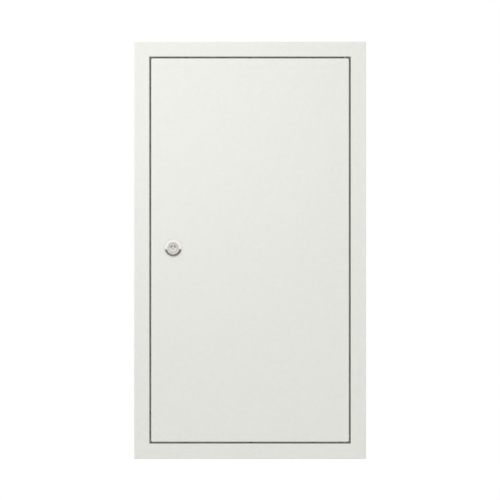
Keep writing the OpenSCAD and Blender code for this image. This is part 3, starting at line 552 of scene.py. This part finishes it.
def layout_nodes():
    """Nodes that set a part on each point of a mesh, along its way and turned at random."""
    group = bpy.data.node_groups.new("set_out_parts", "GeometryNodeTree")
    face = group.interface
    sockets = {
        "Points": "Geometry", "Part": "Object", "Largest turn": "Float", "Seed": "Int",
        "Finish": "Material",
    }
    for name, kind in sockets.items():
        face.new_socket(name, in_out="INPUT", socket_type="NodeSocket" + kind)
    face.new_socket("Parts", in_out="OUTPUT", socket_type="NodeSocketGeometry")
    node, link = group.nodes.new, group.links.new
    given, made = node("NodeGroupInput"), node("NodeGroupOutput")
    part = node("GeometryNodeObjectInfo")
    link(given.outputs["Part"], part.inputs["Object"])
    way = node("GeometryNodeInputNamedAttribute")
    way.data_type = "FLOAT_VECTOR"
    way.inputs["Name"].default_value = "way"
    align = node("FunctionNodeAlignRotationToVector")
    align.axis = "Z"
    link(way.outputs["Attribute"], align.inputs["Vector"])
    turn = node("FunctionNodeRandomValue")
    turn.data_type = "FLOAT"
    least, largest, value = turn.inputs[2], turn.inputs[3], turn.outputs[1]
    least.default_value = 0.0
    link(given.outputs["Largest turn"], largest)
    link(given.outputs["Seed"], turn.inputs["Seed"])
    spin = node("FunctionNodeAxisAngleToRotation")
    spin.inputs["Axis"].default_value = (0, 0, 1)
    link(value, spin.inputs["Angle"])
    both = node("FunctionNodeRotateRotation")
    both.rotation_space = "LOCAL"
    link(align.outputs["Rotation"], both.inputs["Rotation"])
    link(spin.outputs["Rotation"], both.inputs["Rotate By"])
    set_out = node("GeometryNodeInstanceOnPoints")
    link(given.outputs["Points"], set_out.inputs["Points"])
    link(part.outputs["Geometry"], set_out.inputs["Instance"])
    link(both.outputs["Rotation"], set_out.inputs["Rotation"])
    real = node("GeometryNodeRealizeInstances")
    link(set_out.outputs["Instances"], real.inputs["Geometry"])
    paint = node("GeometryNodeSetMaterial")
    link(real.outputs["Geometry"], paint.inputs["Geometry"])
    link(given.outputs["Finish"], paint.inputs["Material"])
    link(paint.outputs["Geometry"], made.inputs["Parts"])
    return group


LAYOUT = layout_nodes()


def give_inputs(modifier, group, **values):
    """Sets a node group's named inputs on its modifier."""
    names = {
        item.name: item.identifier
        for item in group.interface.items_tree
        if item.item_type == "SOCKET" and item.in_out == "INPUT"
    }
    for name, value in values.items():
        modifier[names[name.replace("_", " ")]] = value


def set_out(node, part, ways, depth, largest_turn=0.0, seed=1):
    """Sets a part on each solid of a node, depth below the solid's end on the side of its way."""
    mesh = bpy.data.meshes.new(node + "_points")
    places, directions = [], []
    for low, high in solids_of(node):
        middle = (low + high) / 2
        way = ways(middle)
        end = max(corner.dot(way) for corner in (low, high))
        places.append(middle + way * (end - depth - middle.dot(way)))
        directions.append(way)
    mesh.from_pydata(places, [], [])
    attribute = mesh.attributes.new("way", "FLOAT_VECTOR", "POINT")
    attribute.data.foreach_set("vector", [c for way in directions for c in way])
    piece = link_object(node + "_parts", mesh)
    nodes = piece.modifiers.new("parts", "NODES")
    nodes.node_group = LAYOUT
    finish = FINISHES[SLOT_OF[node]]
    give_inputs(nodes, LAYOUT, Part=part, Largest_turn=largest_turn, Seed=seed, Finish=finish)
    return wear(plain_mesh(piece), node)


def recess(width, depth, top):
    """A cutter for a cross recess: two tapered wings that cross."""
    wings = []
    for turn in (0, math.pi / 2):
        rings = []
        ends = (0.05 * MM, width / 2, 0.11 * width), (-depth, width * 0.24, 0.07 * width)
        for level, reach, half in ends:
            corners = ((-reach, -half), (reach, -half), (reach, half), (-reach, half))
            ring = [Matrix.Rotation(turn, 4, "Z") @ Vector((x, y, top + level)) for x, y in corners]
            rings.append(ring)
        wings.append(link_object("wing", skin(rings, "wing", closed=False, lids=True)))
    return wings


def pan_screw(name, d, length, pitch):
    """A pan-head screw with a cross recess and a thread: its head stands on height 0."""
    rise, head = 0.45 * d, d
    outline = [(0.0, rise), (0.45 * head, rise - 0.01 * d), (0.72 * head, rise - 0.05 * d)]
    outline += [(0.9 * head, rise - 0.14 * d), (0.98 * head, 0.17 * d), (head, 0.08 * d)]
    outline += [(0.98 * head, 0.0), (d / 2, 0.0)]
    outline += toothed(d / 2, -0.1 * d, -length + 0.25 * d, pitch, 0.55 * pitch)
    outline += [(d / 2 - 0.6 * pitch, -length + 0.12 * d), (d / 2 - 0.75 * pitch, -length)]
    outline += [(0.0, -length)]
    screw = turned(name, outline, segments=32)
    cut(screw, *recess(0.95 * d, 0.3 * d, rise))
    soften(screw.data, 35)
    return screw


def hexagon(af, angle):
    """How far the edge of a hexagon, af across its flats, lies from its middle at an angle."""
    return af / 2 / math.cos((angle % (math.pi / 3)) - math.pi / 6)


def shaped_ring(shape, segments, place=Matrix()):
    """A ring of points whose radius and height shape gives for each angle."""
    ring = []
    for k in range(segments):
        a = 2 * math.pi * k / segments
        r, h = shape(a)
        ring.append(place @ Vector((r * math.cos(a), r * math.sin(a), h)))
    return ring


def flange_nut(name, af, rise, bore, washer):
    """A hexagon nut with a round flange, chamfered corners and a threaded bore."""
    face_r, brim = 0.47 * af, 0.25 * rise

    def chamfer(angle):
        r = hexagon(af, angle)
        return r, rise - (r - face_r) * NUT_CHAMFER

    shapes = [
        lambda a: (washer / 2 - 0.1 * MM, 0.0),
        lambda a: (washer / 2, 0.12 * MM),
        lambda a: (washer / 2, brim * 0.45),
        lambda a: (max(hexagon(af, a), washer / 2 - 0.5 * MM), brim * 0.75),
        lambda a: (hexagon(af, a), brim),
        chamfer,
        lambda a: (face_r, rise),
        lambda a: (bore / 2 + 0.35 * MM, rise),
    ]
    thread = toothed(bore / 2 + 0.3 * MM, rise - 0.3 * MM, 0.3 * MM, 0.8 * MM, 0.3 * MM)
    shapes += [(lambda a, p=p: p) for p in thread]
    shapes += [lambda a: (bore / 2 + 0.35 * MM, 0.0)]
    piece = link_object(name, skin([shaped_ring(s, 48) for s in shapes], name))
    soften(piece.data, 30)
    return piece


def stud(name, d, length, pitch):
    """A welded stud with a small collar of weld at its foot: it stands on height 0."""
    outline = [(0.0, length), (d / 2 - 0.14 * d, length), (d / 2, length - 0.12 * d)]
    outline += toothed(d / 2, length - 0.14 * d, 1.2 * MM, pitch, 0.55 * pitch)
    outline += [(d / 2, 0.7 * MM), (d / 2, 0.0), (0.0, 0.0)]
    return turned(name, outline, segments=40)


def grommet_shape(name):
    """A stepped rubber grommet with a thin skin over its top step: its plate lies on height 0."""
    outline = [
        (8.15, -2.6, 0.3), (10.15, -2.6, 0.2), (12.05, 0, 0.3), (10.15, 0, 0), (10.15, 1.5, 0.2),
        (12.95, 1.5, 0.6), (12.95, 3.5, 0.9), (9.15, 3.5, 0.3), (8.9, 6.7, 0.5), (5.3, 6.7, 0.4),
        (5.1, 9.3, 0.6), (0, 9.3, 0), (0, 7.3, 0), (4.0, 7.3, 0.2), (4.0, 5.7, 0.2),
        (8.15, 5.7, 0.3),
    ]
    points = rounded_outline([(x * MM, y * MM, r * MM) for x, y, r in outline], 4)
    piece = turned(name, on_axis(points), segments=56)
    soften(piece.data, 45)
    return piece


def slotted_pin(name, d, length):
    """A terminal screw with a rounded end and a slot across it, pointing up from height 0."""
    outline = [(0.0, 0.0), (d / 2 - 0.3 * MM, 0.0), (d / 2, 0.3 * MM), (d / 2, length - 0.35 * MM)]
    outline += [(d / 2 - 0.12 * MM, length - 0.1 * MM), (d / 2 - 0.35 * MM, length), (0.0, length)]
    pin = turned(name, outline, segments=32)
    slot = block((-d, -0.4 * MM, length - 0.9 * MM), (d, 0.4 * MM, length + 0.2 * MM))
    cut(pin, slot)
    soften(pin.data, 35)
    return pin


def helix_nodes():
    """Nodes that wind a round wire into a spring."""
    group = bpy.data.node_groups.new("wind_spring", "GeometryNodeTree")
    face = group.interface
    for name in ("Turns", "Mean radius", "Height", "Wire radius"):
        face.new_socket(name, in_out="INPUT", socket_type="NodeSocketFloat")
    face.new_socket("Finish", in_out="INPUT", socket_type="NodeSocketMaterial")
    face.new_socket("Spring", in_out="OUTPUT", socket_type="NodeSocketGeometry")
    node, link = group.nodes.new, group.links.new
    given, made = node("NodeGroupInput"), node("NodeGroupOutput")
    line = node("GeometryNodeCurveSpiral")
    line.inputs["Resolution"].default_value = 48
    link(given.outputs["Turns"], line.inputs["Rotations"])
    link(given.outputs["Mean radius"], line.inputs["Start Radius"])
    link(given.outputs["Mean radius"], line.inputs["End Radius"])
    link(given.outputs["Height"], line.inputs["Height"])
    wire = node("GeometryNodeCurvePrimitiveCircle")
    wire.inputs["Resolution"].default_value = 14
    link(given.outputs["Wire radius"], wire.inputs["Radius"])
    sweep = node("GeometryNodeCurveToMesh")
    sweep.inputs["Fill Caps"].default_value = True
    link(line.outputs["Curve"], sweep.inputs["Curve"])
    link(wire.outputs["Curve"], sweep.inputs["Profile Curve"])
    paint = node("GeometryNodeSetMaterial")
    link(sweep.outputs["Mesh"], paint.inputs["Geometry"])
    link(given.outputs["Finish"], paint.inputs["Material"])
    link(paint.outputs["Geometry"], made.inputs["Spring"])
    return group


# ---- Collar frame and door ----


def make_collar():
    """The collar: a face with a return round the outside and a rebate with a lip inside."""
    low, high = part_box("front_frame")
    inner = BEND - SHEET
    corners = [
        (0, RETURN, CUT_EDGE), (0, 0, BEND), (BORDER, 0, BEND), (BORDER, REBATE - SHEET, inner),
        (BORDER + LIP, REBATE - SHEET, CUT_EDGE), (BORDER + LIP, REBATE, CUT_EDGE),
        (BORDER - SHEET, REBATE, BEND), (BORDER - SHEET, SHEET, inner), (SHEET, SHEET, inner),
        (SHEET, RETURN, CUT_EDGE),
    ]
    width, height, plan_radius = high.x - low.x, high.z - low.z, 1.3 * MM
    rings = swept_round(rounded_outline(corners), width, height, low.y, plan_radius)
    collar = link_object("collar", skin(rings, "collar"))
    pin_low, pin_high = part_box("hinge_pin_bottom")
    pivot = (pin_low + pin_high) / 2
    half = height / 2 - BORDER + SHEET / 2
    cut(collar, rod(Vector((pivot.x, pivot.y, half)), UP, BUSH_HOLE, 4 * MM))
    cut(collar, rod(Vector((pivot.x, pivot.y, -half)), UP, M4_HOLE, 4 * MM, 40))
    for screw_low, screw_high in solids_of("frame_screws"):
        middle = (screw_low + screw_high) / 2
        place = Vector((middle.x, low.y + REBATE - SHEET / 2, middle.z))
        cut(collar, rod(place, FRONT, M4_HOLE, 3 * MM, 32))
    return wear(level_normals(collar), "front_frame")


def make_door():
    """The door: a flat sheet whose four edges fold back, with rounded corners."""
    low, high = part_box("door_leaf")
    edge, drop = 8 * MM, high.y - low.y
    corners = [
        (edge, 0, 0), (0, 0, BEND), (0, drop, CUT_EDGE), (SHEET, drop, CUT_EDGE),
        (SHEET, SHEET, BEND - SHEET), (edge, SHEET, 0),
    ]
    width, height, plan_radius = high.x - low.x, high.z - low.z, 2.8 * MM
    rings = swept_round(rounded_outline(corners), width, height, low.y, plan_radius, steps=6)
    door = link_object("door", skin(rings, "door", closed=False, lids=True))
    lock = lock_axis()
    flats, radius, reach = 20.4 * MM, 11.2 * MM, 5 * MM
    outline = [(0, reach), (radius, reach), (radius, -reach), (0, -reach)]
    outline = [(*point, flats) for point in outline]
    cut(door, turned("lock_hole", outline, facing(Vector((lock.x, low.y, lock.z)))))
    for node in ("hinge_bush_top", "hinge_bush_bottom"):
        bush_low, bush_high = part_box(node)
        middle = (bush_low + bush_high) / 2
        fold = high.z - SHEET / 2 if middle.z > 0 else low.z + SHEET / 2
        cut(door, rod(Vector((middle.x, middle.y, fold)), UP, BUSH_HOLE, 3 * MM))
    return wear(level_normals(door), "door_leaf")


# ---- Lock ----


def lock_axis():
    """A point on the axis that the lock turns about."""
    low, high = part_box("lock_gasket")
    return (low + high) / 2


def make_lock_body():
    """The housing: a conical head with a flat face, and a flatted thread behind the door."""
    low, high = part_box("lock_body")
    axis = lock_axis()
    door_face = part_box("door_leaf")[0].y
    place = facing(Vector((axis.x, door_face, axis.z)))
    seat = door_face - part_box("lock_gasket")[0].y
    face, end = door_face - low.y, door_face - high.y
    bore_r = 7.975 * MM
    head = rounded_outline(
        [
            (bore_r, end, 0), (bore_r, face, 0.22 * MM), (FACE_R, face, 0.35 * MM),
            (HEAD_R, seat + 0.8 * MM, 0.3 * MM), (HEAD_R, seat, 0.12 * MM), (THREAD_R, seat, 0),
        ],
        5,
    )
    outline = on_axis(head)
    outline += [(THREAD_R, seat - 0.02 * MM, THREAD_FLATS), (THREAD_R, -1.5 * MM, THREAD_FLATS)]
    outline += toothed(THREAD_R, -1.6 * MM, end + 0.4 * MM, 1.5 * MM, 0.7 * MM, THREAD_FLATS)
    outline += [(10.2 * MM, end, THREAD_FLATS)]
    body = turned("lock_housing", outline, place, segments=128)
    return wear(level_normals(body), "lock_body")


def make_lock_barrel():
    """The turning insert: a dished key pocket with a bridge and a pin in front, a square behind."""
    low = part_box("lock_barrel")[0]
    axis = lock_axis()
    cam_low, cam_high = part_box("lock_cam")
    place = facing(Vector((axis.x, 0, axis.z)))
    front, back, flange = -low.y, -cam_low.y, -cam_low.y + 1.4 * MM
    floor, mouth, throat, flange_r = front - 8 * MM, 5.2 * MM, 3.4 * MM, 9.7 * MM
    dish = (mouth - throat) * math.tan(math.radians(32))
    outline = [
        (0, floor, 0), (throat, floor, 0.2 * MM), (throat, front - dish, 0.05 * MM),
        (mouth, front, 0.08 * MM), (INSERT_R, front, 0.22 * MM), (INSERT_R, flange, 0.1 * MM),
        (flange_r, flange, 0.2 * MM), (flange_r, back, 0.2 * MM), (0, back, 0),
    ]
    barrel = turned("lock_insert", on_axis(rounded_outline(outline, 4)), place, segments=96)
    pin_r, foot, tip = 2.1 * MM, floor - 1 * MM, front - 0.5 * MM
    pin = rounded_outline([(0, foot, 0), (pin_r, foot, 0), (pin_r, tip, 0.3 * MM), (0, tip, 0)], 4)
    pin = turned("pin", on_axis(pin), place, segments=48)
    half_w, half_h, half_square = 1.3 * MM, 6 * MM, 4 * MM
    bridge = block(
        (axis.x - half_w, low.y + 1 * MM, axis.z - half_h),
        (axis.x + half_w, low.y + 9 * MM, axis.z + half_h),
        0.15 * MM,
    )
    square = block(
        (axis.x - half_square, cam_low.y - 0.8 * MM, axis.z - half_square),
        (axis.x + half_square, cam_high.y, axis.z + half_square),
        0.2 * MM,
    )
    join(barrel, bridge, pin, square)
    bore = rod(Vector((axis.x, cam_high.y - 4.5 * MM, axis.z)), FRONT, 5.1 * MM, 9.1 * MM, 48)
    cut(barrel, bore)
    return wear(level_normals(barrel), "lock_barrel")


def make_gasket():
    """A flat rubber ring with rounded edges between the lock's head and the door."""
    low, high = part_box("lock_gasket")
    axis = lock_axis()
    thick, inside, outside, edge = high.y - low.y, 11.1 * MM, (high.x - low.x) / 2, 0.3 * MM
    corners = [(inside, 0, 0), (inside, thick, 0), (outside, thick, edge), (outside, 0, edge)]
    place = facing(Vector((axis.x, high.y, axis.z)))
    gasket = turned("gasket", on_axis(rounded_outline(corners, 5)), place, segments=96)
    return wear(gasket, "lock_gasket")


def make_lock_nut():
    """A thin hexagon nut with chamfered corners on both sides, on the lock's thread."""
    low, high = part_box("lock_nut")
    axis = lock_axis()
    rise, af, bore = high.y - low.y, 27 * MM, 22.1 * MM
    place = facing(Vector((axis.x, low.y, axis.z)), BACK)
    face_r, chamfer = 0.48 * af, 0.5 * MM
    shapes = [
        lambda a: (face_r, 0.0),
        lambda a: (hexagon(af, a), (hexagon(af, a) - face_r) * NUT_CHAMFER),
        lambda a: (hexagon(af, a), rise - (hexagon(af, a) - face_r) * NUT_CHAMFER),
        lambda a: (face_r, rise),
        lambda a: (bore / 2 + chamfer, rise),
        lambda a: (bore / 2, rise - chamfer),
        lambda a: (bore / 2, chamfer),
        lambda a: (bore / 2 + chamfer, 0.0),
    ]
    rings = [shaped_ring(shape, 96, place) for shape in shapes]
    nut = link_object("lock_ring_nut", skin(rings, "lock_ring_nut"))
    soften(nut.data, 30)
    return wear(nut, "lock_nut")


# ---- Spring ----


def make_spring():
    """The spring of the upper pivot, wound at the length of its node (the real one shortens when
    the pivot is drawn back).
    """
    low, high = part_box("hinge_spring")
    wire = 0.4 * MM
    group = helix_nodes()
    piece = link_object("pivot_spring", bpy.data.meshes.new("pivot_spring"))
    nodes = piece.modifiers.new("spring", "NODES")
    nodes.node_group = group
    radius = (high.x - low.x) / 2 - wire
    height = high.z - low.z - 2 * wire
    values = {"Turns": 9.0, "Mean radius": radius, "Height": height, "Wire radius": wire}
    give_inputs(nodes, group, Finish=FINISHES["spring_steel"], **values)
    plain_mesh(piece)
    centre = (low + high) / 2
    piece.data.transform(Matrix.Translation((centre.x, centre.y, low.z + wire)))
    piece.data.shade_smooth()
    wear(piece, "hinge_spring")
    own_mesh(piece)


# ---- The whole enclosure ----

make_collar()
make_door()
make_lock_body()
make_lock_barrel()
make_gasket()
make_lock_nut()
make_spring()

# The width in mm of the broken edges on each node that keeps its own shape
EDGES = {
    0.12: [
        "back_panel", "end_walls", "mouth_ring", "side_walls", "cable_plate_top",
        "cable_plate_bottom",
    ],
    0.2: [
        "masonry_straps", "rail_upright_left", "rail_upright_right", "hinge_carrier", "lock_cam",
        "cover_posts",
    ],
    0.15: [
        "din_rail_1", "din_rail_2", "din_rail_3", "din_rail_4", "lock_washer", "cam_washer",
        "hinge_clip",
    ],
    0.25: ["door_stiffeners", "cover_upper", "cover_lower", "hinge_pin_top", "hinge_pin_bottom"],
    0.3: ["neutral_bar", "earth_bar", "door_buffers", "blanking_strip"],
    0.16: ["frame_bush_top", "hinge_bush_top", "hinge_bush_bottom"],
    0.6: ["neutral_holders", "earth_holders", "document_pocket"],
}
for edge, nodes in EDGES.items():
    for node in nodes:
        dressed(node, edge * MM)


def frontwards(middle):
    """The way of parts that face the front."""
    return FRONT


def backwards(middle):
    """The way of parts that face the back."""
    return BACK


def outwards(axis):
    """The way, along an axis, of parts that face away from the middle of the enclosure."""

    def way(middle):
        return Vector([math.copysign(1, middle[axis]) if i == axis else 0 for i in range(3)])

    return way


screw_m4 = pan_screw("m4_screw", 4 * MM, 7 * MM, 0.7 * MM)
screw_m4_plate = pan_screw("m4_plate_screw", 4 * MM, 6.5 * MM, 0.7 * MM)
screw_m4_frame = pan_screw("m4_frame_screw", 4 * MM, 8 * MM, 0.7 * MM)
screw_m4_cover = pan_screw("m4_cover_screw", 4 * MM, 12 * MM, 0.7 * MM)
screw_m5_rail = pan_screw("m5_rail_screw", 5 * MM, 9 * MM, 0.8 * MM)
screw_m5_cam = pan_screw("m5_cam_screw", 5 * MM, 8 * MM, 0.8 * MM)
nut_m5 = flange_nut("m5_nut", 8 * MM, 5 * MM, 5 * MM, 10 * MM)
nut_m6 = flange_nut("m6_nut", 10 * MM, 6 * MM, 6 * MM, 12.5 * MM)
stud_m5 = stud("m5_stud", 5 * MM, 11 * MM, 0.8 * MM)
stud_m6 = stud("m6_stud", 6 * MM, 16 * MM, 1 * MM)
stud_m6_door = stud("m6_door_stud", 6 * MM, 12 * MM, 1 * MM)
terminal_screw = slotted_pin("terminal_pin", 4 * MM, 4 * MM)
grommet = grommet_shape("grommet")

M4_HEAD = 1.8 * MM  # height of a pan head
M5_HEAD = 2.25 * MM
FULL_TURN = 2 * math.pi
set_out("strap_screws", screw_m4, outwards(0), M4_HEAD, FULL_TURN, 3)
set_out("cable_plate_screws", screw_m4_plate, outwards(2), M4_HEAD, FULL_TURN, 5)
set_out("frame_screws", screw_m4_frame, frontwards, M4_HEAD, FULL_TURN, 7)
set_out("cover_screws", screw_m4_cover, frontwards, M4_HEAD, FULL_TURN, 11)
set_out("din_rail_screws", screw_m5_rail, frontwards, M5_HEAD, FULL_TURN, 13)
set_out("cam_screw", screw_m5_cam, backwards, M5_HEAD, FULL_TURN, 17)
set_out("neutral_screws", terminal_screw, frontwards, 4 * MM, 0.5, 19)
set_out("earth_screws", terminal_screw, frontwards, 4 * MM, 0.5, 23)
set_out("upright_nuts", nut_m5, frontwards, 5 * MM, 1.0, 29)
set_out("box_earth_nut", nut_m6, frontwards, 6 * MM, 0.6, 31)
set_out("door_earth_nut", nut_m6, backwards, 6 * MM, 0.6, 37)
set_out("upright_studs", stud_m5, frontwards, 11 * MM)
set_out("box_earth_stud", stud_m6, frontwards, 16 * MM)
set_out("door_earth_stud", stud_m6_door, backwards, 12 * MM)
set_out("entry_grommets_top", grommet, outwards(2), 9.3 * MM)
set_out("entry_grommets_bottom", grommet, outwards(2), 9.3 * MM)
patterns = [screw_m4, screw_m4_plate, screw_m4_frame, screw_m4_cover, screw_m5_rail, screw_m5_cam]
patterns += [nut_m5, nut_m6, stud_m5, stud_m6, stud_m6_door, terminal_screw, grommet]
for pattern in patterns:
    bpy.data.objects.remove(pattern)


# ---- Studio ----


def plain_material(name, colour, roughness):
    """A matt surface of one colour."""
    material = bpy.data.materials.new(name)
    material.use_nodes = True
    shader = material.node_tree.nodes["Principled BSDF"]
    shader.inputs["Base Color"].default_value = (*colour, 1.0)
    shader.inputs["Roughness"].default_value = roughness
    return material


def make_world(level, uneven, bright_way):
    """A white surround for what the camera, metal and glass see, and a softer light for the rest.

    The light is stronger by uneven from the bright way and weaker by as much from the other side.
    """
    world = bpy.data.worlds.new("studio")
    bpy.context.scene.world = world
    world.use_nodes = True
    tree = world.node_tree
    background = tree.nodes["Background"]
    background.inputs["Color"].default_value = (1, 1, 1, 1)
    way = tree.nodes.new("ShaderNodeTexCoord").outputs["Generated"]
    along = tree.nodes.new("ShaderNodeVectorMath")
    along.operation = "DOT_PRODUCT"
    tree.links.new(way, along.inputs[0])
    along.inputs[1].default_value = bright_way.normalized()
    light = tree.nodes.new("ShaderNodeMapRange")
    light.inputs["From Min"].default_value = -1.0
    light.inputs["To Min"].default_value = level - uneven
    light.inputs["To Max"].default_value = level + uneven
    tree.links.new(along.outputs["Value"], light.inputs["Value"])
    path = tree.nodes.new("ShaderNodeLightPath")
    seen = path.outputs["Is Camera Ray"]
    for other in ("Is Glossy Ray", "Is Transmission Ray"):
        either = tree.nodes.new("ShaderNodeMath")
        either.operation = "MAXIMUM"
        tree.links.new(seen, either.inputs[0])
        tree.links.new(path.outputs[other], either.inputs[1])
        seen = either.outputs[0]
    strength = tree.nodes.new("ShaderNodeMapRange")
    strength.inputs["To Max"].default_value = 1.0
    tree.links.new(seen, strength.inputs["Value"])
    tree.links.new(light.outputs["Result"], strength.inputs["To Min"])
    tree.links.new(strength.outputs["Result"], background.inputs["Strength"])


def make_floor(below, half_size):
    """A plain pale floor, clear from underneath so that the part can be seen from there."""
    bm = bmesh.new()
    bmesh.ops.create_grid(bm, x_segments=1, y_segments=1, size=half_size)
    mesh = bpy.data.meshes.new("floor")
    bm.to_mesh(mesh)
    bm.free()
    floor = link_object("floor", mesh)
    floor.location = (0, 0, below)
    material = plain_material("pale_floor", (0.68, 0.68, 0.675), 0.9)
    tree = material.node_tree
    clear = tree.nodes.new("ShaderNodeBsdfTransparent")
    side = tree.nodes.new("ShaderNodeNewGeometry")
    either = tree.nodes.new("ShaderNodeMixShader")
    tree.links.new(side.outputs["Backfacing"], either.inputs[0])
    tree.links.new(tree.nodes["Principled BSDF"].outputs[0], either.inputs[1])
    tree.links.new(clear.outputs[0], either.inputs[2])
    tree.links.new(either.outputs[0], tree.nodes["Material Output"].inputs["Surface"])
    mesh.materials.append(material)


def hide_from(piece, *ways):
    """Hides a piece from the rays named."""
    for way in ways:
        setattr(piece, "visible_" + way, False)


def make_dark_reflection(axis, radius, front, back, dip):
    """A dark sheet slung in a half circle below the door's front, seen only in reflections: it
    paints a dark reflection into the lower half of polished metal.

    Each end of the half circle stops short of level by the angle dip.
    """
    steps = 48
    angles = [math.pi + dip + (math.pi - 2 * dip) * k / steps for k in range(steps + 1)]
    rows = [
        [Vector((axis.x + radius * math.cos(a), y, axis.z + radius * math.sin(a))) for a in angles]
        for y in (front, back)
    ]
    bm = bmesh.new()
    near, far = ([bm.verts.new(p) for p in row] for row in rows)
    for k in range(steps):
        bm.faces.new((near[k], near[k + 1], far[k + 1], far[k]))
    trough = link_object("dark_cloth", mesh_from(bm, "dark_cloth"))
    # Painted reflection: the sheet runs from a lighter grey on the left to a darker grey on the
    # right, so the metal's dark reflection deepens towards the right.
    left_grey, right_grey = (0.27, 0.28, 0.25), (0.17, 0.16, 0.15)
    material = plain_material("dark_cloth", left_grey, 1.0)
    tree = material.node_tree
    place = tree.nodes.new("ShaderNodeTexCoord").outputs["Object"]
    parts = tree.nodes.new("ShaderNodeSeparateXYZ")
    tree.links.new(place, parts.inputs[0])
    across = tree.nodes.new("ShaderNodeMapRange")
    across.inputs["From Min"].default_value = axis.x - radius
    across.inputs["From Max"].default_value = axis.x + radius
    tree.links.new(parts.outputs["X"], across.inputs["Value"])
    shade = mixed_colour(tree, across.outputs["Result"], left_grey, right_grey)
    tree.links.new(shade, tree.nodes["Principled BSDF"].inputs["Base Color"])
    trough.data.materials.append(material)
    # Seen only by glossy rays, so the sheet is nothing but a painted dark reflection: it casts no
    # shade or shadow.
    hide_from(trough, "camera", "diffuse", "transmission", "volume_scatter", "shadow")


def make_screen(distance, radius):
    """A round, light grey screen in front of the door, which polished metal facing it shows."""
    steps = 48
    centre = Vector((0, -distance, 0))
    ring = [
        centre + Vector((radius * math.cos(a), 0, radius * math.sin(a)))
        for a in (2 * math.pi * k / steps for k in range(steps))
    ]
    mesh = bpy.data.meshes.new("screen")
    mesh.from_pydata(ring, [], [tuple(range(steps))])
    screen = link_object("screen", mesh)
    mesh.materials.append(plain_material("grey_screen", (0.82, 0.80, 0.785), 1.0))
    hide_from(screen, "camera", "transmission", "volume_scatter", "shadow")


def make_spot(place, target, half_angle, size, watts):
    """A soft spot lamp whose pool of light fades out across its target."""
    lamp = bpy.data.lights.new("key", "SPOT")
    lamp.spot_size = 2 * half_angle
    lamp.spot_blend = 1.0
    lamp.shadow_soft_size = size
    lamp.energy = watts
    holder = bpy.data.objects.new("key", lamp)
    bpy.context.scene.collection.objects.link(holder)
    holder.location = place
    holder.rotation_euler = (target - place).to_track_quat("-Z", "Y").to_euler()
    hide_from(holder, "glossy")


def make_camera():
    """A long lens straight in front of the door."""
    camera = bpy.data.cameras.new("camera")
    camera.lens = 600
    camera.sensor_width = 36
    camera.clip_end = 100
    holder = bpy.data.objects.new("camera", camera)
    bpy.context.scene.collection.objects.link(holder)
    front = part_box("door_leaf")[0].y
    width_in_view = 0.862  # at the front of the door
    distance = width_in_view * camera.lens / camera.sensor_width
    holder.location = (-0.1 * MM, front - distance, 0.2 * MM)
    holder.rotation_euler = (math.pi / 2, 0, 0)
    bpy.context.scene.camera = holder


bpy.context.scene.view_settings.view_transform = "Standard"
make_camera()
make_world(level=0.88, uneven=0.39, bright_way=Vector((-0.45, 0, 0.9)))
make_floor(below=-1.1, half_size=18)
# A dark sheet that paints a dark reflection into the lower half of the lock's polished metal.
make_dark_reflection(lock_axis(), radius=1.0, front=-1.0, back=-0.15, dip=math.radians(12))
make_screen(distance=3.1, radius=1.2)
make_spot(
    place=Vector((-1.63, -3.1, 1.73)),
    target=Vector((-0.30, -0.112, 0.44)),
    half_angle=math.radians(10),
    size=0.25,
    watts=108,
)

bpy.context.view_layer.update()
